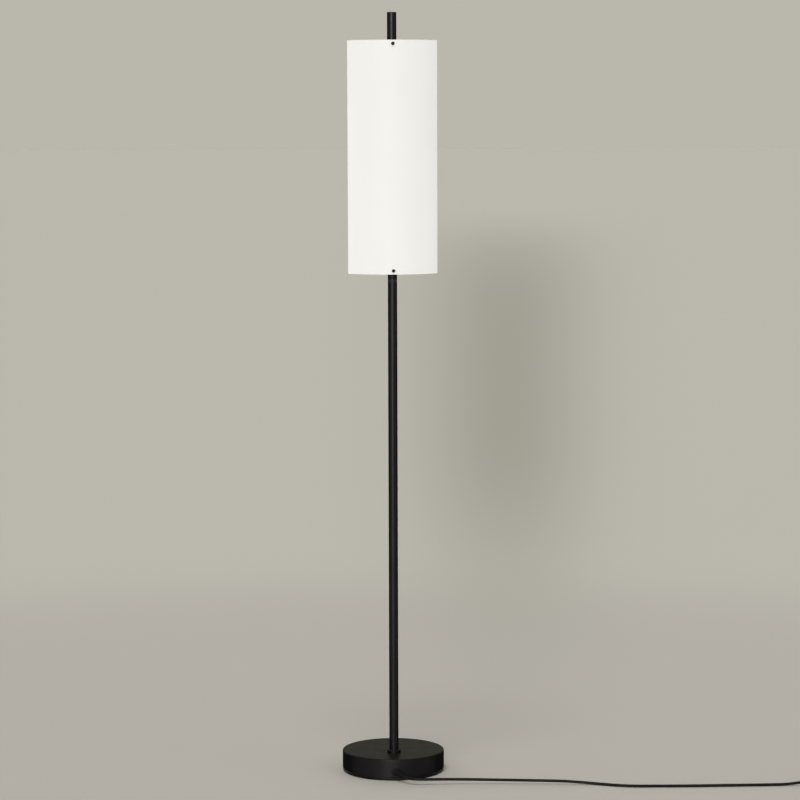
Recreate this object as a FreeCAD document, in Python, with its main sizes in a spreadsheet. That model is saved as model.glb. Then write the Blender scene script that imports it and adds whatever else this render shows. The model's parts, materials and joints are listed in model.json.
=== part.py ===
import FreeCAD, Part
import math
import os
import re

import Sketcher

# A column floor lamp: a heavy round base, a slim post that stands forward of the base's
# centre, and a head that turns on the post and carries a curved white screen on two
# standoffs. Millimetres, +Z up. The origin is on the floor under the centre of the base,
# and the screen faces -Y.

SIZES = [
    # the base
    ("base_radius", 100.0, "outside of the cover"),
    ("base_height", 42.0, "floor to the cover's top"),
    ("cover_wall", 2.5, "sheet of the cover"),
    ("cover_round", 3.0, "rounding of the cover's top edge"),
    ("cover_groove", 1.0, "shadow gap between plate and cover"),
    ("plate_inset", 1.0, "plate's edge inside the cover's"),
    ("plate_thickness", 4.5, "bottom plate"),
    ("pad_thickness", 1.5, "rubber ring under the plate"),
    ("pad_inset", 2.0, "rubber ring's edge inside the plate's"),
    ("pad_width", 9.0, "width of the rubber ring"),
    ("ballast_gap", 0.5, "ballast to the cover's side"),
    ("bay_length", 124.0, "driver bay in the ballast, along X"),
    ("bay_front", 4.0, "front wall of the driver bay"),
    ("bay_back", 56.0, "back wall of the driver bay"),
    ("bay_depth", 26.0, "driver bay"),
    ("channel_width", 34.0, "wiring channel in the ballast"),
    ("channel_depth", 18.0, "wiring channel"),
    ("plate_screw_circle", 80.0, "radius at which the plate screws sit"),
    ("plate_screw_depth", 12.0, "plate screw's reach into the ballast"),
    # fits
    ("fit_gap", 0.05, "radial play of a pressed, screwed or running fit"),
    ("slip_gap", 0.3, "radial play of a clearance hole or a slipped-on ring"),
    ("face_gap", 0.3, "between faces that move past each other"),
    # the post and its foot
    ("post_setback", 34.0, "post axis forward of the base's centre"),
    ("post_radius", 9.0, "outside of post and head tube"),
    ("post_wall", 1.5, "wall of post and head tube"),
    ("collar_radius", 13.2, "ring round the foot of the post"),
    ("collar_height", 6.5, "ring round the foot of the post"),
    ("collar_bevel", 1.3, "ring round the foot of the post"),
    ("nipple_radius", 5.0, "hollow threaded stud that holds the post"),
    ("nipple_bore", 3.0, "radius of its wire hole"),
    ("nipple_end", 1.0, "its thread past the nut"),
    ("foot_plug_length", 22.0, "threaded plug in the foot of the post"),
    ("washer_radius", 10.0, "washer under the ballast"),
    ("washer_thickness", 2.0, "washer under the ballast"),
    ("nut_across_corners", 19.6, "hexagon nut on the stud"),
    ("nut_height", 6.0, "hexagon nut on the stud"),
    # the swivel
    ("ring_height", 5.0, "visible ring of the swivel bush"),
    ("bush_length", 28.0, "bush inside the post"),
    ("spindle_radius", 4.95, "hollow spindle"),
    ("spindle_bore", 3.2, "radius of its wire hole"),
    ("spindle_thread", 15.0, "spindle's reach into the head plug"),
    ("wave_washer_thickness", 1.0, "friction washer"),
    ("lock_nut_height", 6.0, "slotted nut under the bush"),
    ("lock_nut_slot", 2.4, "width of its slots"),
    ("spindle_end", 2.0, "spindle past the lock nut"),
    ("stop_circle", 7.0, "radius at which the stop pin runs"),
    ("stop_pin_radius", 0.9, "stop pin"),
    ("stop_groove_width", 2.4, "groove that the pin runs in"),
    ("stop_groove_depth", 3.0, "groove that the pin runs in"),
    ("stop_lug_width", 2.0, "lug that ends the turn"),
    # the head
    ("flange_height", 3.0, "flange of the head plug"),
    ("head_plug_length", 24.0, "head plug above its flange"),
    ("lamp_height", 1484.0, "floor to the top of the cap"),
    ("head_drop", 12.7, "screen's lower edge to the head's lower end"),
    ("cap_thickness", 2.0, "top cap"),
    ("cap_plug_length", 8.0, "top cap inside the tube"),
    ("window_width", 10.0, "slot for the light strip"),
    ("window_inset", 20.0, "screen's edge to the slot's end"),
    ("strip_play", 1.0, "end of the light strip to the slot's end"),
    ("sink_gap", 0.2, "radial gap round the heat sink bar"),
    ("sink_flat", 2.0, "its flat, forward of the tube's axis"),
    ("board_width", 9.0, "circuit board"),
    ("board_thickness", 1.2, "circuit board"),
    ("chip_size", 3.0, "light-emitting chip"),
    ("chip_thickness", 0.8, "light-emitting chip"),
    ("chip_margin", 8.0, "first chip to the board's end"),
    ("lens_thickness", 2.1, "frosted strip in the slot"),
    ("anchor_length", 14.0, "plug behind the upper standoff"),
    # the screen
    ("screen_radius", 112.5, "outside of the curved sheet"),
    ("screen_half_width", 86.0, "half the chord of the sheet"),
    ("screen_thickness", 1.5, "curved sheet"),
    ("screen_drop", 54.0, "top of the cap to the sheet"),
    ("screen_height", 446.0, "curved sheet"),
    ("screen_reach", 60.0, "post axis to the front of the sheet"),
    ("screw_inset", 7.0, "screw to the sheet's top or bottom edge"),
    ("standoff_radius", 4.0, "spacer between tube and sheet"),
    ("stud_radius", 2.0, "threads of the standoffs and the screen screws"),
    ("stud_reach", 2.8, "standoff's stud past the tube's inner wall"),
    ("pad_ring_thickness", 0.8, "washer behind the sheet"),
    ("pad_ring_radius", 4.6, "washer behind the sheet"),
    ("screw_head_radius", 3.3, "screen screw"),
    ("screw_head_height", 2.4, "screen screw"),
    ("screw_reach", 8.0, "screen screw behind the sheet"),
    # the cord's way out of the base
    ("cord_radius", 2.75, "sheathed cord"),
    ("gland_across", 3.3, "gland from the base's middle plane"),
    ("gland_height", 17.0, "floor to the gland's centre"),
    ("gland_half_height", 7.5, "oval flange"),
    ("gland_half_width", 10.5, "oval flange"),
    ("gland_flange", 2.5, "thickness of the oval flange"),
    ("gland_neck", 5.5, "radius through the wall"),
    ("gland_inner_radius", 7.0, "flange behind the wall"),
    ("gland_inner_flange", 1.2, "thickness of the flange behind the wall"),
    ("gland_inner_gap", 0.8, "wall to that flange, as the wall is curved"),
    ("tail_root_radius", 5.2, "flexible tail at the flange"),
    ("tail_tip_radius", 3.7, "flexible tail at its tip"),
    ("tail_length", 21.0, "flexible tail"),
    # the switch on the cord
    ("switch_length", 62.0, "housing"),
    ("switch_width", 26.0, "housing"),
    ("switch_base_height", 12.0, "lower half"),
    ("switch_cover_height", 7.0, "upper half"),
    ("switch_wall", 2.0, "both halves"),
    ("switch_corner", 7.0, "rounding of the housing's corners"),
    ("switch_cord_height", 7.0, "floor to the cord in the switch"),
    ("switch_relief", 9.0, "tapered sleeve at each end"),
    ("button_radius", 7.0, "push button"),
    ("button_rise", 3.0, "button above the housing"),
    ("button_travel", 1.5, "push button"),
    ("button_flange", 1.2, "rim that holds the button in"),
    # the plug
    ("plug_thickness", 13.7, "flat two-pin plug"),
    ("plug_half_width", 17.6, "plug body"),
    ("plug_length", 36.0, "plug body"),
    ("plug_relief", 14.0, "tapered sleeve on the cord"),
    ("pin_radius", 2.0, "plug pin"),
    ("pin_length", 19.0, "plug pin"),
    ("pin_spacing", 18.6, "plug pins, centre to centre"),
    # the coil
    ("coil_radius", 39.0, "outer turns, at the cord's centre"),
    ("coil_pitch", 6.1, "between turns side by side"),
    ("coil_layer", 5.95, "between the two layers"),
    ("coil_rise", 1.15, "coil above the floor, for the tie"),
    ("tie_thickness", 0.8, "strap round the coil"),
    ("tie_width", 9.0, "strap round the coil"),
    ("tie_gap", 0.35, "strap to the turns"),
]

PLATE_SCREW_ANGLES = (90, 210, 330)
CHIP_COUNT = 34
COIL_QUARTERS = 22  # quarter turns of the put-away coil, half of them in each layer

# The cord from the tail of the gland to the switch: the tail points this way, and the
# other points are where the cord bends, the first of them still a little above the floor.
TAIL_HEADING = -52.0
TAIL_SLOPE = -9.0
FIRST_RUN = 16.0
CORD_ROUTE = [
    (40.4, -137.6, 11.2),
    (60.0, -138.2, 11.0),
    (92.0, -135.6, 10.4),
    (140.0, -134.2, 9.3),
    (200.0, -137.0, 8.3),
    (262.0, -141.0, 7.4),
    (318.0, -146.2, 6.9),
    (352.0, -148.6, 4.9),
    (386.0, -155.0, 2.9),
    (420.0, -169.4, 2.8),
    (452.0, -178.6, 2.8),
    (502.0, -180.4, 2.8),
    (562.0, -182.6, 2.8),
    (630.0, -181.8, 2.8),
    (702.0, -181.6, 2.8),
    (752.0, -180.6, 2.9),
    (785.0, -178.0, 7.0),
    (806.0, -174.3, 7.0),
]
SWITCH_HEADING = 10.0  # the cord's direction through the switch
COIL_LEAD = 34.0  # from the switch's sleeve to the coil's first turn
PLUG_LEAD = 27.0  # from the coil's last turn to the plug's sleeve

Vector = FreeCAD.Vector
Z_AXIS = Vector(0, 0, 1)
TOWARDS_FRONT = FreeCAD.Rotation(Vector(1, 0, 0), 90)  # turns +Z to -Y
UPRIGHT = FreeCAD.Rotation()

doc = FreeCAD.newDocument("column_floor_lamp")
sheet = doc.addObject("Spreadsheet::Sheet", "sizes")
for row, (alias, number, note) in enumerate(SIZES, 1):
    sheet.set(f"A{row}", alias)
    sheet.set(f"B{row}", str(number))
    sheet.set(f"C{row}", note)
    sheet.setAlias(f"B{row}", alias)
doc.recompute()
size = {alias: float(sheet.get(alias)) for alias, _, _ in SIZES}
nodes = []


# ---------------------------------------------------------------- helpers


def cells(text):
    """An expression in which each alias is read from the sheet."""
    return re.sub(r"[a-z_]+", lambda m: f"sizes.{m[0]}" if m[0] in size else m[0], str(text))


def bind(thing, **sizes):
    for name, text in sizes.items():
        thing.setExpression(name, cells(text))
    return thing


def place(thing, x="0", y="0", z="0", turn=UPRIGHT):
    thing.Placement = FreeCAD.Placement(Vector(), turn)
    for axis, text in (("x", x), ("y", y), ("z", z)):
        thing.setExpression(f".Placement.Base.{axis}", cells(text))
    return thing


def node(thing, label):
    """Registers a finished sub-part under the name of its file."""
    thing.Label = label
    nodes.append(thing)
    return thing


def solid(kind, name, x="0", y="0", z="0", turn=UPRIGHT, **sizes):
    """A Part primitive whose sizes and place are bound to the sheet."""
    return place(bind(doc.addObject(f"Part::{kind}", name), **sizes), x, y, z, turn)


def rod(name, radius, length, x="0", y="0", z="0", turn=UPRIGHT):
    return solid("Cylinder", name, x, y, z, turn, Radius=radius, Height=length)


def block(name, length, width, height, x="0", y="0", z="0"):
    """A box centred on x and y, standing on z."""
    return solid(
        "Box",
        name,
        f"({x}) - ({length}) / 2",
        f"({y}) - ({width}) / 2",
        z,
        Length=length,
        Width=width,
        Height=height,
    )


def fused(name, pieces):
    made = doc.addObject("Part::MultiFuse", name)
    made.Shapes = pieces
    return made


def cut(name, stock, tools):
    made = doc.addObject("Part::Cut", name)
    made.Base = stock
    made.Tool = tools[0] if len(tools) == 1 else fused(f"{name}_tools", tools)
    return made


def group(name, pieces):
    """Separate solids that share one node."""
    made = doc.addObject("Part::Compound", name)
    made.Links = pieces
    return made


def washer(name, outer, inner, thickness, x="0", y="0", z="0", turn=UPRIGHT):
    disc = rod(f"{name}_disc", outer, thickness, x, y, z, turn)
    hole = rod(f"{name}_hole", inner, thickness, x, y, z, turn)
    return cut(name, disc, [hole])


def body(name):
    return doc.addObject("PartDesign::Body", name)


def sketch(owner, role, name, lift="0"):
    """A sketch on one of the body's own planes, moved along its normal by lift."""
    drawn = owner.newObject("Sketcher::SketchObject", name)
    origin_plane = next(f for f in owner.Origin.OriginFeatures if f.Role == role)
    drawn.AttachmentSupport = [(origin_plane, "")]
    drawn.MapMode = "FlatFace"
    drawn.setExpression(".AttachmentOffset.Base.z", cells(lift))
    return drawn


def dimension(drawn, text, kind, *where):
    """A sketch dimension bound to the sheet."""
    index = drawn.addConstraint(Sketcher.Constraint(kind, *where))
    drawn.setExpression(f"Constraints[{index}]", cells(text))


def fix_point(drawn, geometry, end, x, y):
    """Holds one point of a sketch at x, y from its origin."""
    drawn_at = drawn.getPoint(geometry, end)
    dimension(drawn, x, "DistanceX", -1, 1, geometry, end, drawn_at.x)
    dimension(drawn, y, "DistanceY", -1, 1, geometry, end, drawn_at.y)


def outline(drawn, corners):
    """A closed polygon with its corners bound to the sheet."""
    count = len(corners)
    first = drawn.GeometryCount
    rough = [Vector(math.cos(a), math.sin(a), 0) for a in
             (2 * math.pi * i / count for i in range(count))]
    for i in range(count):
        drawn.addGeometry(Part.LineSegment(rough[i], rough[(i + 1) % count]), False)
    for i in range(count):
        following = first + (i + 1) % count
        drawn.addConstraint(Sketcher.Constraint("Coincident", first + i, 2, following, 1))
    for i, (x, y) in enumerate(corners):
        fix_point(drawn, first + i, 1, x, y)
    return drawn


def rectangle(drawn, x_low, x_high, y_low, y_high):
    return outline(drawn, [(x_low, y_low), (x_high, y_low), (x_high, y_high), (x_low, y_high)])


def circle(drawn, radius, x="0", y="0"):
    index = drawn.addGeometry(Part.Circle(Vector(1, 1, 0), Z_AXIS, 5), False)
    fix_point(drawn, index, 3, x, y)
    dimension(drawn, radius, "Radius", index, 5.0)
    return drawn


def pad(owner, drawn, length):
    made = owner.newObject("PartDesign::Pad", f"{drawn.Name}_pad")
    made.Profile = drawn
    return bind(made, Length=length)


def pocket(owner, drawn, depth=None):
    """Cuts away from the sketch's back: up from XY_Plane and forward from XZ_Plane."""
    made = owner.newObject("PartDesign::Pocket", f"{drawn.Name}_pocket")
    made.Profile = drawn
    made.Reversed = True
    if depth is None:
        made.Type = "ThroughAll"
    else:
        bind(made, Length=depth)
    return made


def turned(name, corners):
    """A body of revolution about its own Z axis, from corners given as (radius, height)."""
    made = body(name)
    drawn = outline(sketch(made, "XZ_Plane", f"{name}_profile"), corners)
    spun = made.newObject("PartDesign::Revolution", f"{name}_revolution")
    spun.Profile = drawn
    spun.ReferenceAxis = (drawn, ["V_Axis"])
    spun.Angle = 360
    return made


def around(owner, feature, count):
    """Repeats a feature round the body's Z axis."""
    made = owner.newObject("PartDesign::PolarPattern", f"{feature.Name}_pattern")
    made.Originals = [feature]
    z_line = next(f for f in owner.Origin.OriginFeatures if f.Role == "Z_Axis")
    made.Axis = (z_line, [""])
    made.Angle = 360
    made.Occurrences = count
    owner.Tip = made
    return made


def rounded(owner, base, radius, wanted):
    """Rounds the edges of base for which wanted(edge) is true."""
    doc.recompute()
    names = [f"Edge{i}" for i, e in enumerate(base.Shape.Edges, 1) if wanted(e)]
    made = owner.newObject("PartDesign::Fillet", f"{owner.Name}_round_{len(owner.Group)}")
    made.Base = (base, names)
    return bind(made, Radius=radius)


def is_upright(edge):
    return edge.Curve.TypeId == "Part::GeomLine" and abs(edge.tangentAt(edge.FirstParameter).z) > 0.99


def lies_at(edge, height):
    return abs(edge.BoundBox.ZMin - height) < 1e-4 and abs(edge.BoundBox.ZMax - height) < 1e-4


def screw(name, shank, length, head, head_height, x, y, z, turn=UPRIGHT):
    """A pan-head screw: the head stands on x, y, z and the shank leaves it the way turn says."""
    way = turn.multVec(Z_AXIS)
    step = lambda text, part: f"({text}) + ({head_height}) * ({round(part, 6)})"
    shoulder = rod(f"{name}_head", head, head_height, x, y, z, turn)
    thread = rod(
        f"{name}_shank", shank, length, step(x, way.x), step(y, way.y), step(z, way.z), turn
    )
    return fused(name, [shoulder, thread])


# ---------------------------------------------------------------- swept tubes


def unit(vector):
    return Vector(vector) / vector.Length


def heading(degrees, slope=0.0):
    """The unit vector that points degrees from +X towards +Y, and up by slope."""
    turn, rise = math.radians(degrees), math.radians(slope)
    return Vector(math.cos(turn) * math.cos(rise), math.sin(turn) * math.cos(rise), math.sin(rise))


def bent_path(points, share=0.45):
    """Straight runs joined by tangent arcs, as large as share of the shorter run allows."""
    edges, radii = [], []
    start = points[0]
    for before, corner, after in zip(points, points[1:], points[2:]):
        back, ahead = unit(before - corner), unit(after - corner)
        half_turn = (math.pi - back.getAngle(ahead)) / 2
        trim = share * min((corner - before).Length, (after - corner).Length)
        radius = trim / math.tan(half_turn)
        first, last = corner + back * trim, corner + ahead * trim
        centre_way = unit(back + ahead)
        middle = corner + centre_way * (radius / math.cos(half_turn) - radius)
        edges.append(Part.LineSegment(start, first).toShape())
        edges.append(Part.Arc(first, middle, last).toShape())
        radii.append(radius)
        start = last
    edges.append(Part.LineSegment(start, points[-1]).toShape())
    return Part.Wire(edges), radii


def arc_from(start, tangent, end):
    """The arc that leaves start along tangent and reaches end."""
    chord = end - start
    along = unit(chord)
    lean = tangent - along * tangent.dot(along)
    if lean.Length < 1e-9:
        return Part.LineSegment(start, end).toShape()
    swing = tangent.getAngle(along)
    middle = (start + end) / 2 + unit(lean) * (chord.Length / 2 * math.tan(swing / 2))
    return Part.Arc(start, middle, end).toShape()


def smooth_path(stations):
    """A wire of biarcs through stations, each a point and the path's direction there."""
    edges = []
    for (start, leaving), (end, arriving) in zip(stations, stations[1:]):
        span = end - start
        both = leaving + arriving
        spread = 2 * (1 - leaving.dot(arriving))
        if spread < 1e-9:
            reach = span.Length / 2 if span.cross(leaving).Length < 1e-6 else (
                span.dot(span) / (2 * span.dot(both)) * 1.0
            )
        else:
            product = span.dot(both)
            reach = (math.sqrt(product**2 + spread * span.dot(span)) - product) / spread
        join = (start + end + (leaving - arriving) * reach) / 2
        edges.append(arc_from(start, leaving, join))
        half_way = edges[-1].tangentAt(edges[-1].LastParameter)
        edges.append(arc_from(join, half_way, end))
    return Part.Wire(edges)


def sweep(path, radius):
    """A round solid along a wire."""
    first = path.Edges[0]
    start, way = first.valueAt(first.FirstParameter), first.tangentAt(first.FirstParameter)
    ring = Part.Wire(Part.Circle(start, way, radius).toShape())
    made = path.makePipeShell([ring], True, False)
    expected = math.pi * radius**2 * path.Length
    if abs(made.Volume - expected) > 0.01 * expected:
        raise ValueError(f"a tube holds {made.Volume:.0f}, its path asks for {expected:.0f}")
    return made


def tube(label, path, radius):
    made = doc.addObject("Part::Feature", label)
    made.Shape = sweep(path, radius)
    return node(made, label)


def tubes(label, shapes):
    made = doc.addObject("Part::Feature", label)
    made.Shape = shapes[0] if len(shapes) == 1 else Part.Compound(shapes)
    return node(made, label)


# ---------------------------------------------------------------- what follows from the sizes

PLATE_TOP = "pad_thickness + plate_thickness"
COVER_BOTTOM = f"{PLATE_TOP} + cover_groove"
COVER_HEIGHT = f"base_height - ({COVER_BOTTOM})"
BALLAST_RADIUS = "base_radius - cover_wall - ballast_gap"
BALLAST_TOP = "base_height - cover_wall"
CHANNEL_ROOF = f"{PLATE_TOP} + channel_depth"
POST_Y = "-post_setback"
PLATE_RADIUS = "base_radius - plate_inset"
PAD_RADIUS = f"{PLATE_RADIUS} - pad_inset"
NUT_BOTTOM = f"{CHANNEL_ROOF} - washer_thickness - nut_height"
NIPPLE_BOTTOM = f"{NUT_BOTTOM} - nipple_end"
TUBE_BORE = "post_radius - post_wall"
PLUG_RADIUS = f"{TUBE_BORE} - fit_gap"
SCREEN_BOTTOM = "lamp_height - screen_drop - screen_height"
HEAD_BOTTOM = f"{SCREEN_BOTTOM} - head_drop"
POST_TOP = f"{HEAD_BOTTOM} - face_gap - ring_height"
LOWER_STANDOFF = f"{SCREEN_BOTTOM} + screw_inset"
UPPER_STANDOFF = f"{SCREEN_BOTTOM} + screen_height - screw_inset"
STANDOFFS = (("lower", LOWER_STANDOFF), ("upper", UPPER_STANDOFF))
WINDOW_BOTTOM = f"{SCREEN_BOTTOM} + window_inset"
WINDOW_LENGTH = "screen_height - 2 * window_inset"


def value(text):
    """The number that an expression on the sheet stands for."""
    names = re.sub(r"[a-z_]+", lambda m: str(size[m[0]]), text)
    return FreeCAD.Units.Quantity(names).Value


# ---------------------------------------------------------------- base


def base_cover():
    made = turned(
        "base_cover",
        [
            ("base_radius - cover_wall", "0"),
            ("base_radius", "0"),
            ("base_radius", COVER_HEIGHT),
            ("0", COVER_HEIGHT),
            ("0", f"{COVER_HEIGHT} - cover_wall"),
            ("base_radius - cover_wall", f"{COVER_HEIGHT} - cover_wall"),
        ],
    )
    doc.recompute()
    top = made.Shape.BoundBox.ZMax
    rounded(made, made.Tip, "cover_round", lambda edge: lies_at(edge, top))
    post_hole = circle(
        sketch(made, "XY_Plane", "cover_post_hole"), "nipple_radius + slip_gap", "0", POST_Y
    )
    pocket(made, post_hole)
    gland_hole = circle(
        sketch(made, "XZ_Plane", "cover_gland_hole"),
        "gland_neck + slip_gap",
        "gland_across",
        f"gland_height - ({COVER_BOTTOM})",
    )
    pocket(made, gland_hole)
    node(place(made, z=COVER_BOTTOM), "base_cover")


CLAMP_Y = -86.0
CLAMP_SCREW_OFFSET = 9.5
TERMINAL_Y = -65.0
DRIVER_SCREW_X = 54.0
DRIVER_Y = "(bay_front + bay_back) / 2"
SMALL_SCREW = 1.5
SMALL_HEAD = 2.8
DRIVER_SCREW = 2.0


def ballast():
    made = body("ballast")
    disc = circle(sketch(made, "XY_Plane", "ballast_disc"), BALLAST_RADIUS)
    pad(made, disc, f"{BALLAST_TOP} - ({PLATE_TOP})")
    bay = rectangle(
        sketch(made, "XY_Plane", "driver_bay"),
        "-bay_length / 2",
        "bay_length / 2",
        "bay_front",
        "bay_back",
    )
    pocket(made, bay, "bay_depth")
    channel = rectangle(
        sketch(made, "XY_Plane", "wiring_channel"),
        "gland_across - channel_width / 2",
        "gland_across + channel_width / 2",
        "-base_radius",
        "bay_front + 1",
    )
    pocket(made, channel, "channel_depth")
    stud_hole = circle(
        sketch(made, "XY_Plane", "ballast_stud_hole"), "nipple_radius + slip_gap", "0", POST_Y
    )
    pocket(made, stud_hole)
    for name, offset in (("left", -CLAMP_SCREW_OFFSET), ("right", CLAMP_SCREW_OFFSET)):
        hole = circle(
            sketch(made, "XY_Plane", f"clamp_thread_{name}"),
            f"{SMALL_SCREW} + fit_gap",
            f"gland_across + ({offset})",
            str(CLAMP_Y),
        )
        pocket(made, hole, "channel_depth + 10")
    terminal_thread = circle(
        sketch(made, "XY_Plane", "terminal_thread"),
        f"{SMALL_SCREW} + fit_gap",
        "gland_across",
        str(TERMINAL_Y),
    )
    pocket(made, terminal_thread, "channel_depth + 10")
    for name, across in (("left", -DRIVER_SCREW_X), ("right", DRIVER_SCREW_X)):
        hole = circle(
            sketch(made, "XY_Plane", f"driver_thread_{name}"),
            f"{DRIVER_SCREW} + fit_gap",
            str(across),
            DRIVER_Y,
        )
        pocket(made, hole, "bay_depth + 5")
    plate_thread = circle(
        sketch(made, "XY_Plane", "plate_thread"), "stud_radius + fit_gap", "0", "plate_screw_circle"
    )
    threads = pocket(made, plate_thread, "plate_screw_depth + 1")
    around(made, threads, len(PLATE_SCREW_ANGLES))
    node(place(made, z=PLATE_TOP), "ballast")


SINK_HEAD = 4.0
SINK_HEIGHT = 2.2


def round_the_base(angle):
    return f"plate_screw_circle * cos({angle})", f"plate_screw_circle * sin({angle})"


def bottom_plate():
    disc = rod("bottom_plate_disc", PLATE_RADIUS, "plate_thickness", z="pad_thickness")
    tools = []
    for angle in PLATE_SCREW_ANGLES:
        x, y = round_the_base(angle)
        tools.append(
            rod(f"plate_hole_{angle}", "stud_radius + slip_gap", "plate_thickness", x, y,
                "pad_thickness")
        )
        tools.append(
            solid(
                "Cone",
                f"plate_sink_{angle}",
                x,
                y,
                "pad_thickness",
                Radius1=f"{SINK_HEAD} + slip_gap",
                Radius2="stud_radius + slip_gap",
                Height=SINK_HEIGHT,
            )
        )
    node(cut("bottom_plate", disc, tools), "bottom_plate")


def plate_screws():
    made = []
    for angle in PLATE_SCREW_ANGLES:
        x, y = round_the_base(angle)
        head = solid(
            "Cone",
            f"plate_screw_head_{angle}",
            x,
            y,
            "pad_thickness",
            Radius1=SINK_HEAD,
            Radius2="stud_radius",
            Height=SINK_HEIGHT,
        )
        shank = rod(
            f"plate_screw_shank_{angle}",
            "stud_radius",
            "plate_thickness + plate_screw_depth",
            x,
            y,
            "pad_thickness",
        )
        made.append(fused(f"plate_screw_{angle}", [head, shank]))
    node(group("plate_screws", made), "plate_screws")


def foot_pad():
    node(washer("foot_pad", PAD_RADIUS, f"{PAD_RADIUS} - pad_width", "pad_thickness"), "foot_pad")


DRIVER_LENGTH = 96.0
DRIVER_WIDTH = 40.0
DRIVER_HEIGHT = 20.0
EAR_LENGTH = 12.0
EAR_THICKNESS = 3.0
BAY_ROOF = f"{PLATE_TOP} + bay_depth"


def led_driver():
    case = block("driver_case", DRIVER_LENGTH, DRIVER_WIDTH, DRIVER_HEIGHT, "0", DRIVER_Y,
                 f"{BAY_ROOF} - {DRIVER_HEIGHT}")
    ears = block("driver_ears", DRIVER_LENGTH + 2 * EAR_LENGTH, DRIVER_WIDTH / 2, EAR_THICKNESS,
                 "0", DRIVER_Y, f"{BAY_ROOF} - {EAR_THICKNESS}")
    holes = [
        rod(f"driver_hole_{name}", f"{DRIVER_SCREW} + slip_gap", EAR_THICKNESS, across, DRIVER_Y,
            f"{BAY_ROOF} - {EAR_THICKNESS}")
        for name, across in (("left", -DRIVER_SCREW_X), ("right", DRIVER_SCREW_X))
    ]
    node(cut("led_driver", fused("driver_stock", [case, ears]), holes), "led_driver")
    screws = [
        screw(f"driver_screw_{name}", DRIVER_SCREW, EAR_THICKNESS + 4.5, 3.6, 2.6, str(across),
              DRIVER_Y, f"{BAY_ROOF} - {EAR_THICKNESS} - 2.6")
        for name, across in (("left", -DRIVER_SCREW_X), ("right", DRIVER_SCREW_X))
    ]
    node(group("driver_screws", screws), "driver_screws")


TERMINAL_LENGTH = 20.0
TERMINAL_WIDTH = 14.0
TERMINAL_HEIGHT = 11.0
POLE_OFFSET = 5.0
WIRE_RADIUS = 1.0


def terminal_block():
    bottom = f"{CHANNEL_ROOF} - {TERMINAL_HEIGHT}"
    stock = block("terminal_stock", TERMINAL_LENGTH, TERMINAL_WIDTH, TERMINAL_HEIGHT,
                  "gland_across", TERMINAL_Y, bottom)
    tools = [
        rod(f"terminal_pole_{name}", 2.1, TERMINAL_WIDTH, f"gland_across + ({offset})",
            f"{TERMINAL_Y} + {TERMINAL_WIDTH} / 2", "gland_height", TOWARDS_FRONT)
        for name, offset in (("left", -POLE_OFFSET), ("right", POLE_OFFSET))
    ]
    tools.append(
        rod("terminal_hole", f"{SMALL_SCREW} + slip_gap", TERMINAL_HEIGHT, "gland_across",
            TERMINAL_Y, bottom)
    )
    node(cut("terminal_block", stock, tools), "terminal_block")
    node(
        screw("terminal_screw", SMALL_SCREW, TERMINAL_HEIGHT + 8, SMALL_HEAD, 2.2, "gland_across",
              str(TERMINAL_Y), f"{bottom} - 2.2"),
        "terminal_screw",
    )


CLAMP_LENGTH = 28.0
CLAMP_WIDTH = 8.0
CLAMP_HEIGHT = 12.0


def cord_clamp():
    bottom = f"{CHANNEL_ROOF} - {CLAMP_HEIGHT}"
    stock = block("clamp_stock", CLAMP_LENGTH, CLAMP_WIDTH, CLAMP_HEIGHT, "gland_across", CLAMP_Y,
                  bottom)
    cord_hole = rod("clamp_cord_hole", "cord_radius + fit_gap", CLAMP_WIDTH, "gland_across",
                    f"{CLAMP_Y} + {CLAMP_WIDTH} / 2", "gland_height", TOWARDS_FRONT)
    sides = (("left", -CLAMP_SCREW_OFFSET), ("right", CLAMP_SCREW_OFFSET))
    holes = [
        rod(f"clamp_hole_{name}", f"{SMALL_SCREW} + slip_gap", CLAMP_HEIGHT,
            f"gland_across + ({offset})", CLAMP_Y, bottom)
        for name, offset in sides
    ]
    node(cut("cord_clamp", stock, [cord_hole, *holes]), "cord_clamp")
    screws = [
        screw(f"clamp_screw_{name}", SMALL_SCREW, CLAMP_HEIGHT + 8, SMALL_HEAD, 2.2,
              f"gland_across + ({offset})", str(CLAMP_Y), f"{bottom} - 2.2")
        for name, offset in sides
    ]
    node(group("clamp_screws", screws), "clamp_screws")


# ---------------------------------------------------------------- wiring inside the base

gland = Vector(size["gland_across"], -size["base_radius"], size["gland_height"])
post_y = -size["post_setback"]
terminal_front = TERMINAL_Y - TERMINAL_WIDTH / 2
terminal_back = TERMINAL_Y + TERMINAL_WIDTH / 2
driver_front = (size["bay_front"] + size["bay_back"]) / 2 - DRIVER_WIDTH / 2
WIRE_GRIP = 4.0  # a bared end's reach into its terminal


def inner_cord():
    """The sheath from the gland through the clamp, and its two cores to the terminals."""
    inside = size["cover_wall"] + size["gland_inner_gap"] + size["gland_inner_flange"]
    start = gland + Vector(0, inside, 0)
    sheath_end = Vector(gland.x, CLAMP_Y + CLAMP_WIDTH / 2 + 2.0, gland.z)
    sheath = Part.makeCylinder(
        size["cord_radius"], (sheath_end - start).Length, start, sheath_end - start
    )
    cores = []
    for side in (-1, 1):
        route = [
            sheath_end + Vector(1.3 * side, -0.5, 0),
            Vector(gland.x + 1.3 * side, sheath_end.y + 1.5, gland.z),
            Vector(gland.x + POLE_OFFSET * side, terminal_front - 1.5, gland.z),
            Vector(gland.x + POLE_OFFSET * side, terminal_front + WIRE_GRIP, gland.z),
        ]
        cores.append(sweep(bent_path(route)[0], WIRE_RADIUS))
    tubes("inner_cord", [sheath.fuse(cores).removeSplitter()])


SUPPLY_X = (13.3, 16.9)  # the two supply leads beside the stud's nut
SUPPLY_HEIGHT = 15.0


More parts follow.
